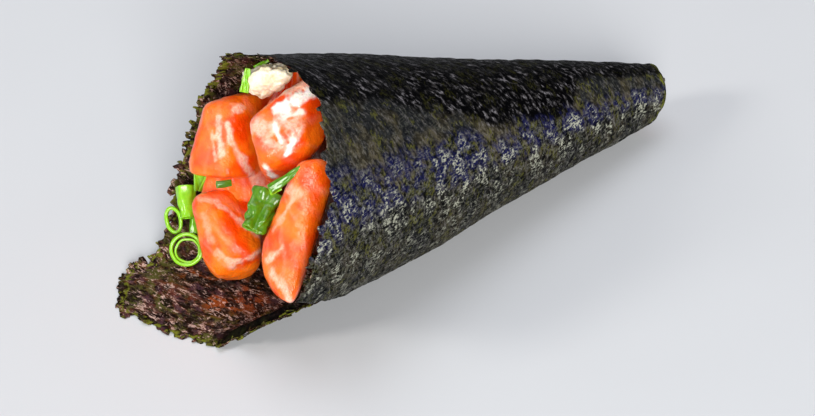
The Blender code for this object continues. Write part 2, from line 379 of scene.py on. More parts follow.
class Recipe:
    """A material in the making, with the patterns that it can be mixed from."""

    def __init__(self, name: str) -> None:
        """Starts an empty node material."""
        self.material = bpy.data.materials.new(name)
        self.material.use_nodes = True
        self.tree = self.material.node_tree
        self.tree.nodes.clear()

    def add(self, kind: Kind, *values: Any, inputs: dict[str, Any] | None = None,
            **settings: Any) -> Socket | None:
        """Adds a node with its settings, values and links.

        A STEP spreads a range of values over another one, eased and held at its ends, and a MIX
        lays a share of its second colour over the first.

        Args:
            kind: the kind of node.
            values: for its inputs in order, a value, a colour in hex, or the socket that feeds it.
            inputs: the same for inputs given by name.
            settings: the node's own properties.

        Returns:
            The node's output, where it has one.
        """
        node_type, fixed, names, output = kind.value
        node = self.tree.nodes.new(node_type)
        for name, setting in {**fixed, **settings}.items():
            setattr(node, name, setting)
        for name, value in [*zip(names, values), *(inputs or {}).items()]:
            if isinstance(value, Socket):
                self.tree.links.new(value, node.inputs[name])
            else:
                node.inputs[name].default_value = linear(value) if isinstance(value, str) else value
        return None if output is None else node.outputs[output]

    def lumps(self, size_mm: float, detail: float = 2.0, rough: float = 0.5) -> Socket:
        """Lumps fixed to the object, about size_mm across."""
        return self.add(Kind.NOISE, self.add(Kind.SPOT), 1.0 / (size_mm * MM), detail, rough)

    def sheet_lumps(self, size_mm: float, detail: float, rough: float, stretch: float,
                    turn: float, shift: float) -> Socket:
        """Lumps laid on the flat sheet, which follow it round the roll.

        Args:
            size_mm: the lumps' size.
            detail: how many finer layers they have.
            rough: how strong those are.
            stretch: how much longer the lumps are along their grain.
            turn: the grain's direction on the flat sheet, in radians.
            shift: moves the pattern, to get another one of the same kind.

        Returns:
            The pattern's height, from 0 to 1.
        """
        turned = self.add(Kind.TURN, self.add(Kind.FLAT_SPOT), (0.0, 0.0, -turn))
        placed = self.add(Kind.SCALE, turned, (1.0 / stretch, 1.0, 1.0), (shift, 0.0, shift))
        return self.add(Kind.NOISE, placed, 1.0 / (size_mm * FLAT_SCALE), detail, rough)

    def finished(self, inputs: dict[str, Any]) -> bpy.types.Material:
        """The material, its surface shader fed by these inputs."""
        self.add(Kind.OUTPUT, self.add(Kind.SURFACE, inputs=inputs))
        return self.material


@dataclass(frozen=True)
class ToastedNori:
    """Red seaweed pressed into paper and toasted.

    It is a felt of torn leaves. The outer face is near black, crossed by thin wiggly threads of ash
    grey and olive that lie along the grain. Light on it is painted: grey glints on the black top, an
    umber-grey sheen round the front, a dark blue reflection in a belt there, and pale glints on
    threads and flecks below. The inner face is mottled brown, plum and olive, with tan threads and
    flecks that are painted wet highlights. At a torn edge the felt thins out and turns olive green.
    The threads are drawn about twice as wide as real ones, so that they show.
    """

    black: str = "#020203"
    sheen_umber: str = "#504a3a"
    sheen_slate: str = "#232527"
    ash: str = "#666362"
    sheen_grey: str = "#8e8b90"
    olive: str = "#5a5a26"
    reflected_navy: str = "#141744"
    glint: str = "#a6a898"
    soot: str = "#150c09"
    brown: str = "#583224"
    rust: str = "#8a4118"
    plum: str = "#4e3440"
    moss: str = "#4c4c22"
    glint_tan: str = "#d0b0a4"
    thin: str = "#666a22"
    thread_mm: float = 1.25
    grain: float = -0.75

    def threads(self, recipe: Recipe, turn: float, shift: float, width: float = 0.045) -> Socket:
        """Thin wiggly lines: they lie where a lumpy pattern crosses its own middle height.

        Args:
            recipe: the material in the making.
            turn: their grain on the flat sheet.
            shift: picks other lines of the same kind.
            width: how wide they are, as a share of the pattern's height.

        Returns:
            1 on a line and 0 away from it.
        """
        height = recipe.sheet_lumps(self.thread_mm, 3.0, 0.6, 2.4, turn, shift)
        off = recipe.add(Kind.UNSIGNED, recipe.add(Kind.PLUS, height, -0.5))
        return recipe.add(Kind.STEP, off, width, width * 0.2)

    def outer(self, recipe: Recipe) -> Socket:
        """The outer face's colour: black with painted grey glints on top, then a painted umber-grey
        sheen, a belt of painted dark blue reflection, and painted pale glints on threads below.

        "dusk" tells how far round the roll lies from the end of the black, and "way" how far round
        the cone it is, both in degrees.

        Args:
            recipe: the material in the making.

        Returns:
            The colour.
        """
        add = recipe.add
        cloud = recipe.sheet_lumps(7.0, 4.0, 0.62, 1.4, self.grain, 5.0)
        fine = recipe.sheet_lumps(1.1, 4.0, 0.72, 1.9, self.grain, 1.0)
        tint = recipe.sheet_lumps(3.0, 3.0, 0.6, 1.3, self.grain, 8.0)
        speck = recipe.sheet_lumps(0.7, 3.0, 0.7, 1.3, self.grain + 0.7, 27.0)
        wobble = add(Kind.STEP, cloud, 0.3, 0.7, -6.0, 6.0)
        sheen_way = add(Kind.PLUS, add(Kind.VALUE, attribute_name="sheen_way"), wobble)
        way = add(Kind.PLUS, add(Kind.VALUE, attribute_name="way"), wobble)
        # Past the black top the front takes a painted umber-grey sheen in place of the near-black
        # sheet.
        front = add(Kind.STEP, sheen_way, -4.0, 5.0)
        # Painted glints: short grey strokes on the black top.
        sheen = add(
            Kind.TIMES, add(Kind.STEP, fine, 0.52, 0.66), add(Kind.STEP, tint, 0.45, 0.60, 0.0, 0.72)
        )
        dim = add(Kind.MIX, sheen, self.black, self.sheen_grey)
        # The painted sheen round the front, umber-grey, darker further round towards the foot.
        body = add(Kind.MIX, add(Kind.STEP, cloud, 0.40, 0.60), self.sheen_umber, self.sheen_slate)
        dark = add(
            Kind.TIMES,
            add(Kind.STEP, fine, 0.56, 0.42),
            add(Kind.STEP, way, 132.0, 150.0, 0.62, 0.97),
        )
        body = add(Kind.MIX, dark, body, self.black)
        body = add(Kind.MIX, add(Kind.STEP, way, 146.0, 170.0, 0.0, 0.58), body, self.black)
        colour = add(Kind.MIX, front, dim, body)
        # Painted reflection: a belt of dark blue round the front, in place of reflected sky.
        reflection_belt = add(
            Kind.TIMES, add(Kind.STEP, way, 137.0, 147.0), add(Kind.STEP, way, 170.0, 158.0)
        )
        blue_reflection = add(Kind.TIMES, reflection_belt, add(Kind.STEP, tint, 0.40, 0.54))
        blue_reflection = add(Kind.TIMES, blue_reflection, add(Kind.STEP, fine, 0.36, 0.52, 0.25, 0.92))
        colour = add(Kind.MIX, blue_reflection, colour, self.reflected_navy)
        grey = self.threads(recipe, self.grain, 2.0)
        grey = add(Kind.TIMES, grey, add(Kind.STEP, fine, 0.46, 0.60))
        grey = add(Kind.TIMES, grey, add(Kind.STEP, front, 0.0, 1.0, 0.30, 0.60))
        colour = add(Kind.MIX, grey, colour, self.ash)
        green = self.threads(recipe, self.grain + 0.9, 4.0)
        green = add(Kind.TIMES, green, add(Kind.STEP, tint, 0.48, 0.36))
        green = add(Kind.TIMES, green, add(Kind.STEP, front, 0.0, 1.0, 0.22, 0.70))
        colour = add(Kind.MIX, green, colour, self.olive)
        # Painted glints: pale threads and flecks, low round the front.
        lit = add(
            Kind.TIMES,
            add(Kind.STEP, way, 140.0, 153.0, 0.10, 1.0),
            add(Kind.STEP, way, 196.0, 168.0, 0.45, 1.0),
        )
        lit = add(Kind.TIMES, lit, add(Kind.STEP, sheen_way, -2.0, 5.0))
        glint_flecks = add(
            Kind.TIMES, add(Kind.STEP, speck, 0.57, 0.67), add(Kind.STEP, tint, 0.50, 0.60)
        )
        pale = self.threads(recipe, self.grain + 1.8, 6.0, 0.06)
        pale = add(Kind.TIMES, pale, add(Kind.STEP, speck, 0.38, 0.54))
        pale = add(Kind.TIMES, pale, add(Kind.STEP, tint, 0.50, 0.60, 0.15, 1.0))
        pale = add(Kind.TIMES, add(Kind.LARGER, pale, glint_flecks), lit)
        return add(Kind.MIX, pale, colour, self.glint)

    def inner(self, recipe: Recipe) -> Socket:
        """The inner face's colour: soot and brown, rust where it is wet, with plum and moss, and tan
        threads and flecks that are painted wet highlights.

        Args:
            recipe: the material in the making, where "wet" tells how wet the sheet is.

        Returns:
            The colour.
        """
        add = recipe.add
        cloud = recipe.sheet_lumps(5.5, 4.0, 0.65, 1.3, 1.0, 13.0)
        tint = recipe.sheet_lumps(4.4, 4.0, 0.66, 1.3, 0.6, 15.0)
        fine = recipe.sheet_lumps(2.0, 4.0, 0.72, 1.3, 1.2, 11.0)
        speck = recipe.sheet_lumps(0.8, 3.0, 0.7, 1.5, 0.4, 29.0)
        wet = add(Kind.VALUE, attribute_name="wet")
        colour = add(Kind.MIX, add(Kind.STEP, fine, 0.40, 0.58), self.soot, self.brown)
        colour = add(Kind.MIX, add(Kind.STEP, tint, 0.52, 0.66, 0.0, 0.7), colour, self.plum)
        moss = add(
            Kind.TIMES, add(Kind.STEP, tint, 0.54, 0.40), add(Kind.STEP, wet, 0.0, 0.8, 0.95, 0.25)
        )
        colour = add(Kind.MIX, moss, colour, self.moss)
        rust = add(Kind.TIMES, add(Kind.STEP, cloud, 0.44, 0.60), wet)
        colour = add(Kind.MIX, rust, colour, self.rust)
        dark = recipe.sheet_lumps(2.8, 4.0, 0.72, 1.3, 1.3, 19.0)
        dark = add(Kind.TIMES, add(Kind.STEP, dark, 0.52, 0.46), 0.92)
        colour = add(Kind.MIX, dark, colour, self.soot)
        # Painted wet highlights: tan threads and flecks.
        thread = self.threads(recipe, 1.2, 17.0)
        thread = add(Kind.TIMES, thread, add(Kind.STEP, fine, 0.50, 0.60, 0.05, 0.8))
        glint_flecks = add(
            Kind.TIMES,
            add(Kind.STEP, speck, 0.56, 0.66),
            add(Kind.STEP, cloud, 0.48, 0.56, 0.05, 0.9),
        )
        return add(Kind.MIX, add(Kind.LARGER, thread, glint_flecks), colour, self.glint_tan)

    def material(self) -> bpy.types.Material:
        """Builds the material.

        Returns:
            The material, which reads "back", "edge", "dusk", "way", "wet" and "shade".
        """
        recipe = Recipe("nori_toasted_seaweed_paper")
        add = recipe.add
        behind = add(Kind.VALUE, attribute_name="back")
        colour = add(Kind.MIX, behind, self.outer(recipe), self.inner(recipe))
        fine = recipe.sheet_lumps(1.2, 4.0, 0.7, 1.6, self.grain, 21.0)
        edge = add(Kind.STEP, add(Kind.VALUE, attribute_name="edge"), 2.4, 0.0)
        torn = add(Kind.PLUS, edge, add(Kind.STEP, fine, 0.35, 0.65, -0.75, 0.30))
        colour = add(Kind.MIX, add(Kind.STEP, torn, 0.45, 0.95), colour, self.thin)
        # Painted shade: the hem's steep side is darkened towards black.
        shade = add(Kind.VALUE, attribute_name="shade")
        return recipe.finished(
            {
                "Base Color": add(Kind.MIX, shade, colour, self.black),
                "Roughness": add(Kind.STEP, fine, 0.35, 0.65, 0.65, 0.36),
                "Normal": add(Kind.BUMP, fine, 0.45 * MM, 0.9),
                "IOR": 1.5,
                "Specular IOR Level": 0.02,
            },
        )


@dataclass(frozen=True)
class RawSalmon:
    """Raw salmon cut with a wet knife.

    Light goes some millimetres into the flesh and comes out deeper orange. Bands of pale fat cross
    it, and a film of moisture gives sharp white lights; the pale fat colour is also laid on as
    painted wet highlights. Where the filling lies against the sheet, deep in the roll, painted shade
    makes it nearly black.
    """

    flesh: str = "#ff7610"
    deep: str = "#f04602"
    fat: str = "#ffc8b2"
    film: str = "#fdf4ec"
    painted_shade: str = "#260b05"

    def material(self) -> bpy.types.Material:
        """Builds the material.

        Returns:
            The material, which reads the chunk's "fat", "smear" and "stain" values.
        """
        recipe = Recipe("salmon_raw_wet_cut")
        add = recipe.add
        fine = recipe.lumps(0.7, 3.0, 0.6)
        cloud = add(Kind.STEP, recipe.lumps(6.0), 0.35, 0.65)
        colour = add(Kind.MIX, cloud, self.deep, self.flesh)
        # The fat value holds real fat bands and pale streaks that are partly painted wet highlights;
        # all take the fat colour.
        band = add(Kind.VALUE, attribute_name="fat")
        band = add(Kind.TIMES, band, add(Kind.STEP, fine, 0.30, 0.60, 0.55, 1.0))
        colour = add(Kind.MIX, band, colour, self.fat)
        colour = add(Kind.MIX, add(Kind.VALUE, attribute_name="smear"), colour, self.film)
        # Painted shade: the core deep behind the chunks is darkened nearly to black.
        colour = add(Kind.MIX, add(Kind.VALUE, attribute_name="painted_shade"), colour, self.painted_shade)
        normal = add(Kind.BUMP, fine, 0.30 * MM, 0.8)
        normal = add(Kind.BUMP, recipe.lumps(2.2), 0.35 * MM, 0.5, normal)
        return recipe.finished(
            {
                "Base Color": colour,
                "Roughness": 0.30,
                "Normal": normal,
                "IOR": 1.40,
                "Specular IOR Level": 0.35,
                "Subsurface Weight": 0.30,
                "Subsurface Radius": (1.0, 0.42, 0.14),
                "Subsurface Scale": 0.0016,
                "Coat Weight": 0.5,
                "Coat Roughness": 0.07,
                "Coat Normal": normal,
            },
        )


@dataclass(frozen=True)
class SoftCheese:
    """Cream cheese, spread and pulled: white, dense, with a moist surface and soft peaks."""

    white: str = "#f1ead4"
    shade: str = "#ddd0aa"

    def material(self) -> bpy.types.Material:
        """Builds the material.

        Returns:
            The material.
        """
        recipe = Recipe("cream_cheese_spread")
        add = recipe.add
        lump = recipe.lumps(1.6, 3.0, 0.55)
        return recipe.finished(
            {
                "Base Color": add(Kind.MIX, add(Kind.STEP, lump, 0.3, 0.6), self.shade, self.white),
                "Roughness": 0.38,
                "Normal": add(Kind.BUMP, lump, 0.5 * MM, 0.6),
                "Subsurface Weight": 0.35,
                "Subsurface Radius": (1.0, 0.8, 0.5),
                "Subsurface Scale": 0.0012,
            },
        )


@dataclass(frozen=True)
class SpringOnion:
    """Fresh spring onion leaf, cut across: waxy, bright green skin and a paler, wetter cut."""

    skin: str = "#529a06"
    pale: str = "#98d820"
    dark: str = "#38580a"

    def material(self) -> bpy.types.Material:
        """Builds the material.

        Returns:
            The material, which reads the piece's "pale" and "dark" values.
        """
        recipe = Recipe("spring_onion_fresh_cut")
        add = recipe.add
        vein = recipe.lumps(0.8)
        colour = add(Kind.MIX, add(Kind.STEP, vein, 0.35, 0.65, 0.0, 0.35), self.skin, self.pale)
        colour = add(Kind.MIX, add(Kind.VALUE, attribute_name="pale"), colour, self.pale)
        colour = add(Kind.MIX, add(Kind.VALUE, attribute_name="dark"), colour, self.dark)
        return recipe.finished(
            {
                "Base Color": colour,
                "Roughness": 0.28,
                "Normal": add(Kind.BUMP, vein, 0.12 * MM, 0.5),
                "Subsurface Weight": 0.25,
                "Subsurface Radius": (0.6, 0.8, 0.1),
                "Subsurface Scale": 0.001,
                "Coat Weight": 0.3,
                "Coat Roughness": 0.12,
            },
        )


# ---------------------------------------------------------------- the cone and the mouth


@dataclass(frozen=True)
class Cone:
    """The cone that the sheet is rolled into, lying on its side with its underside pressed flat.

    A place on it is rho, the distance from the apex, and phi, the way round: 0 at the back, a
    quarter turn on top, half a turn at the front. All sizes are in millimetres.
    """

    half_angle: float = radians(13.41)
    tip_extra_width: float = 0.8
    tip_extra_height: float = 2.1
    tip_lift: float = 1.7
    mouth_widening: float = 0.149
    mouth_flattening: float = -0.045
    mouth_shift: float = 0.030
    mouth_sag: float = -1.0
    lean: float = 0.139
    tip_range: Pair = (20.0, 110.0)
    lift_range: Pair = (10.0, 110.0)
    sag_range: Pair = (60.0, 130.0)
    mouth_range: Pair = (100.0, 150.0)
    lobes: tuple[Triple, ...] = ((2, -0.050, -0.050), (3, 0.027, 0.050), (4, 0.050, 0.050))

    def section(self, rho: Array, phi: Array | float) -> tuple[Array, Array, Array, Array]:
        """Half width, half height and centre of the section: a circle of radius rho sin(angle).

        It is drawn taller at the tip, wider and lower at the mouth, and there it has lobes, each
        a wave of a few turns round the section.

        Args:
            rho: the distance from the apex.
            phi: the way round.

        Returns:
            The half width and height, and the y and z of the centre.
        """
        radius = rho * sin(self.half_angle)
        tip = 1.0 - smooth(rho, *self.tip_range)
        mouth = smooth(rho, *self.mouth_range)
        lobe = 1.0
        for order, in_phase, across_phase in self.lobes:
            wave = in_phase * np.cos(order * phi) + across_phase * np.sin(order * phi)
            lobe = lobe + mouth * wave
        half_width = radius * (1.0 + self.mouth_widening * mouth) + self.tip_extra_width * tip
        half_height = radius * (1.0 + self.mouth_flattening * mouth) + self.tip_extra_height * tip
        lift = self.tip_lift * (1.0 - smooth(rho, *self.lift_range))
        lift = lift + self.mouth_sag * smooth(rho, *self.sag_range)
        centre_y = self.mouth_shift * radius * mouth
        return half_width * lobe, half_height * lobe, centre_y, lift + half_height

    def point(self, rho: Array, phi: Array, inwards: Array | float, floor: Array | float) -> Array:
        """The point at (rho, phi), moved inwards and kept above a floor.

        y is the section's centre plus its half width times cos phi, z the same with the half
        height and sin phi, and x runs back along the axis and leans with the height.

        Args:
            rho: the distance from the apex.
            phi: the way round.
            inwards: how far the point is moved in from the cone.
            floor: the lowest height allowed.

        Returns:
            The points about the apex.
        """
        half_width, half_height, centre_y, centre_z = self.section(rho, phi)
        y = centre_y + (half_width - inwards) * np.cos(phi)
        z = np.maximum(centre_z + (half_height - inwards) * np.sin(phi), floor)
        x = -rho * cos(self.half_angle) + (z - centre_z) * self.lean
        return np.stack(np.broadcast_arrays(x, y, z), axis=-1)

    def past_wall(self, points: Array, clearance: float) -> Array:
        """How far each point is past the room inside the cone: below 0 when it is inside.

        The point's rho is found by going back and forth a few times between the section's height
        and the lean. Then its place is measured against the section there.

        Args:
            points: points about the apex.
            clearance: how far inside the cone the room's wall is.

        Returns:
            The distance of each point.
        """
        x, y, z = points[..., 0], points[..., 1], points[..., 2]
        rho = -x / cos(self.half_angle)
        for _ in range(4):
            centre_z = self.section(rho, 0.0)[3]
            rho = np.maximum((-x + (z - centre_z) * self.lean) / cos(self.half_angle), 1.0)
        half_width, half_height, centre_y, centre_z = self.section(rho, 0.0)
        phi = np.arctan2((z - centre_z) / half_height, (y - centre_y) / half_width)
        half_width, half_height, centre_y, centre_z = self.section(rho, phi)
        inner_width = half_width - clearance
        inner_height = half_height - clearance
        ratio = np.hypot((y - centre_y) / inner_width, (z - centre_z) / inner_height)
        wall = (ratio - 1.0) * np.minimum(inner_width, inner_height)
        return np.maximum(wall, clearance + 0.1 - z)


@dataclass(frozen=True)
class Mouth:
    """The leaning frame of the open mouth, about the apex, in millimetres."""

    centre: Triple = (-132.7, 4.0, 41.1)
    turn: float = radians(33.7)
    tilt: float = radians(37.8)
    normal: Triple = (-0.909, 0.169, 0.381)

    def axes(self, tilt: float = 0.0) -> Array:
        """The across, up and out directions.

        Args:
            tilt: how far across and up are turned about out, in degrees.

        Returns:
            The three directions as rows.
        """
        across = np.array([cos(self.turn), -sin(self.turn), 0.0])
        level = cos(self.tilt) * np.array([-sin(self.turn), -cos(self.turn), 0.0])
        out = level + np.array([0.0, 0.0, sin(self.tilt)])
        up = np.cross(out, across)
        angle = radians(tilt)
        first = cos(angle) * across + sin(angle) * up
        second = -sin(angle) * across + cos(angle) * up
        return np.stack([first, second, out])

    def at(self, place: Triple) -> Array:
        """A place given as across, up and out, as a point about the apex."""
        return np.array(self.centre) + np.array(place) @ self.axes()

    def height(self, points: Array) -> Array:
        """How far points about the apex stand out of the mouth's plane."""
        return (points - np.array(self.centre)) @ np.array(self.normal)


CONE = Cone()
MOUTH = Mouth()


# ---------------------------------------------------------------- the nori


@dataclass
class NoriSheet:
    """The sheet, rolled from the back over the top to the front, and on under itself.

    On the flat sheet u runs along the mouth's edge and v away from the apex. The polar place
    about the apex gives rho and theta, and the way round the cone is theta over sin(half angle).
    Its torn edges have waves and nicks, each with a length and a depth.
    """

    cone: Cone = CONE
    thickness: float = 0.30
    inner_edge: float = -97.5
    outer_edge: float = 64.7
    tip_edge: float = 22.9
    mouth_edge: float = 133.9
    mouth_insets: tuple[float, ...] = (-1.3, 5.2, 7.3, -2.9, 1.0, -3.9)
    inner_bulge: float = 6.4
    outer_bulge: float = 4.5
    foot_angle: float = radians(75.35)
    pitch: float = 1.0
    hem_height: float = 2.6
    swell_range: Pair = (60.0, 139.0)
    covered_range: Pair = (radians(-12.0), radians(-2.0))
    torn_wave: Pair = (8.0, 1.3)
    torn_nick: Pair = (2.6, 1.1)
    buckle: float = 0.30
    streak: float = 0.20
    streak_turn: float = 0.5
    crackle: float = 0.14
    wet_centre: Pair = (-86.0, 113.0)
    wet_size: Pair = (9.0, 12.0)
    black_end: float = 115.0
    columns: int = 264
    rows: int = 182

    def outermost(self, rho: Array) -> Array:
        """The largest theta that the sheet has at this distance from the apex."""
        at_tip = np.arccos(np.clip(self.tip_edge / rho, -1.0, 1.0))
        at_side = np.arcsin(np.clip(self.outer_edge / rho, -1.0, 1.0))
        return np.minimum(at_tip, at_side)

    def surface(self, u: Array, v: Array) -> Array:
        """The rolled sheet's middle surface: each inner turn lies one pitch further in.

        Args:
            u: places along the mouth's edge of the flat sheet.
            v: places away from the apex on it.

        Returns:
            The points about the apex.
        """
        rho = np.hypot(u, v)
        theta = np.arctan2(u, v)
        turn = 2.0 * pi * sin(self.cone.half_angle)
        phi = self.foot_angle + theta / sin(self.cone.half_angle)
        outermost = self.outermost(rho)
        inwards = self.pitch * (outermost - theta) / turn
        covered = smooth(outermost - theta - turn, *self.covered_range)
        points = self.cone.point(rho, phi, inwards, 0.25 + self.pitch * covered)
        points[..., 2] += self.hem_height * self.hem(u, v)
        return points

    def swell(self, v: Array) -> Array:
        """How strongly both side edges bulge: most in the middle."""
        return np.sin(pi * smooth(v, *self.swell_range))

    def inner_line(self, v: Array) -> Array:
        """The u of the inner edge before it is torn: it bulges in the middle and near its corner."""
        corner = smooth(v, 131.0, 125.0) * smooth(v, 98.0, 112.0)
        return self.inner_edge - self.inner_bulge * self.swell(v) - 1.5 * corner

    def hem(self, u: Array, v: Array) -> Array:
        """How far the loose front hem is raised: it rises, then drops steeply to the plate."""
        inwards = u - self.inner_line(v)
        along = smooth(v, 88.0, 96.0) * smooth(v, 117.0, 108.0)
        return along * smooth(inwards, 9.0, 3.5) * smooth(inwards, 0.4, 2.4)

    def shade(self, u: Array, v: Array) -> Array:
        """Painted shade on the steep side of the hem, which turns away from the light."""
        inwards = u - self.inner_line(v)
        along = smooth(v, 86.0, 92.0) * smooth(v, 117.0, 111.0)
        return 0.95 * along * smooth(inwards, 3.8, 3.0)

    def mouth_line(self, u: Array) -> Array:
        """The mouth's edge on the flat sheet: a straight line set back by a few eased steps.

        Args:
            u: places along it.

        Returns:
            The v of the edge at each place.
        """
        across = (u - self.inner_edge) / (self.outer_edge - self.inner_edge)
        place = np.clip(across, 0.0, 1.0) * (len(self.mouth_insets) - 1)
        left = np.clip(place.astype(int), 0, len(self.mouth_insets) - 2)
        part = smooth(place - left, 0.0, 1.0)
        insets = np.array(self.mouth_insets)
        line = self.mouth_edge - insets[left] * (1.0 - part) - insets[left + 1] * part
        step = smooth(-u, 80.5, 83.0)
        line = line + 1.3 * step - 2.6 * smooth(-u, 62.0, 72.0) * (1.0 - step)
        return line - 1.9 * smooth(-u, 86.0, 96.0) + 2.0 * smooth(u, 18.0, 28.0) * smooth(u, 46.0, 36.0)

    def torn(self, along: Array, seed: int) -> Array:
        """How far a torn edge stands in: shallow waves with sharp nicks in them.

        Args:
            along: places along the edge.
            seed: picks one edge out of many.

        Returns:
            The distance at each place.
        """
        (wave_length, wave_depth), (nick_length, nick_depth) = self.torn_wave, self.torn_nick
        wave = layered_noise(flat_places(along / wave_length, np.zeros_like(along)), seed, 4)
        nick = noise(flat_places(along / nick_length, np.zeros_like(along)), seed + 9)
        return wave_depth * wave + nick_depth * np.clip(nick, 0.0, 1.0) ** 2

    def flat_grid(self) -> tuple[Array, Array]:
        """The grid on the flat sheet, its four edges torn.

        Returns:
            The u and the v of its points, one row for each line along the mouth.
        """
        share = np.linspace(1.0, 0.0, self.columns)[None, :]
        down = np.linspace(0.0, 1.0, self.rows)[:, None]
        v_straight = self.tip_edge + down * (self.mouth_edge - self.tip_edge)
        left = self.inner_line(v_straight) + self.torn(v_straight, 3)
        right = self.outer_edge + self.outer_bulge * self.swell(v_straight) - self.torn(v_straight, 5)
        u = left + (right - left) * share
        start = self.tip_edge + self.torn(u, 7)
        end = self.mouth_line(u) - self.torn(u, 11)
        return u, start + down * (end - start)

    def crinkle(self, u: Array, v: Array) -> Array:
        """How far the paper stands off its smooth shape: buckles, drying streaks and fine crackle.

        Args:
            u: places along the mouth's edge of the flat sheet.
            v: places away from the apex on it.

        Returns:
            The height at each place.
        """
        buckle = layered_noise(flat_places(u / 11.0, v / 17.0), 21, 2)
        along = u * cos(self.streak_turn) + v * sin(self.streak_turn)
        aside = -u * sin(self.streak_turn) + v * cos(self.streak_turn)
        streak = layered_noise(flat_places(along / 6.0, aside / 1.9), 31, 2)
        crackle = layered_noise(flat_places(u / 1.7, v / 1.7), 41, 2)
        return self.buckle * buckle + self.streak * streak + self.crackle * crackle

    def clean(self, u: Array, v: Array) -> Array:
        """Where the sheet is cut and not torn: its front rim."""
        return smooth(u, -12.0, 12.0) * smooth(v, 40.0, 60.0)

    def edge_distance(self, u: Array, v: Array) -> Array:
        """How far each point is from the nearest torn edge; the front rim, cut clean, counts as far."""
        sides = np.minimum(u[:, :1] - u, u - u[:, -1:])
        ends = np.minimum(v - v[:1], v[-1:] - v)
        return np.minimum(sides, ends) + 2.6 * self.clean(u, v)

    def way(self, u: Array, v: Array) -> Array:
        """How far round the cone a point lies, in degrees."""
        return np.degrees(self.foot_angle + np.arctan2(u, v) / sin(self.cone.half_angle))

    def sheen_way(self, u: Array, v: Array) -> Array:
        """How far round the roll a point lies past the end of the black top, where the painted sheen
        starts, in degrees.
        """
        rho = np.hypot(u, v)
        way = self.way(u, v)
        end = self.black_end + 11.0 * smooth(rho, 130.0, 100.0) + 22.0 * smooth(rho, 101.0, 64.0)
        return way - end + 32.0 * smooth(rho, 61.0, 52.0)

    def build(self) -> Piece:
        """The sheet as a closed body, its inner face marked as its back.

        Returns:
            The piece.
        """
        u, v = self.flat_grid()
        middle = self.surface(u, v)
        normal = np.cross(np.gradient(middle, axis=1), np.gradient(middle, axis=0))
        normal /= np.linalg.norm(normal, axis=-1, keepdims=True)
        middle = middle + normal * self.crinkle(u, v)[..., None]
        half = self.thickness / 2.0
        outer = middle + normal * half
        inner = middle - normal * half
        outer[..., 2] = np.maximum(outer[..., 2], LOWEST)
        inner[..., 2] = np.maximum(inner[..., 2], LOWEST)
        off_u, off_v = u - self.wet_centre[0], v - self.wet_centre[1]
        wet = smooth(np.hypot(off_u / self.wet_size[0], off_v / self.wet_size[1]), 1.3, 0.5)
        values = {
            "edge": self.edge_distance(u, v),
            "sheen_way": self.sheen_way(u, v),
            "way": self.way(u, v),
            "shade": self.shade(u, v),
            "wet": wet,
        }
        return closed_sheet("nori_sheet_torn", outer, inner, values, np.stack([u, v], axis=-1))


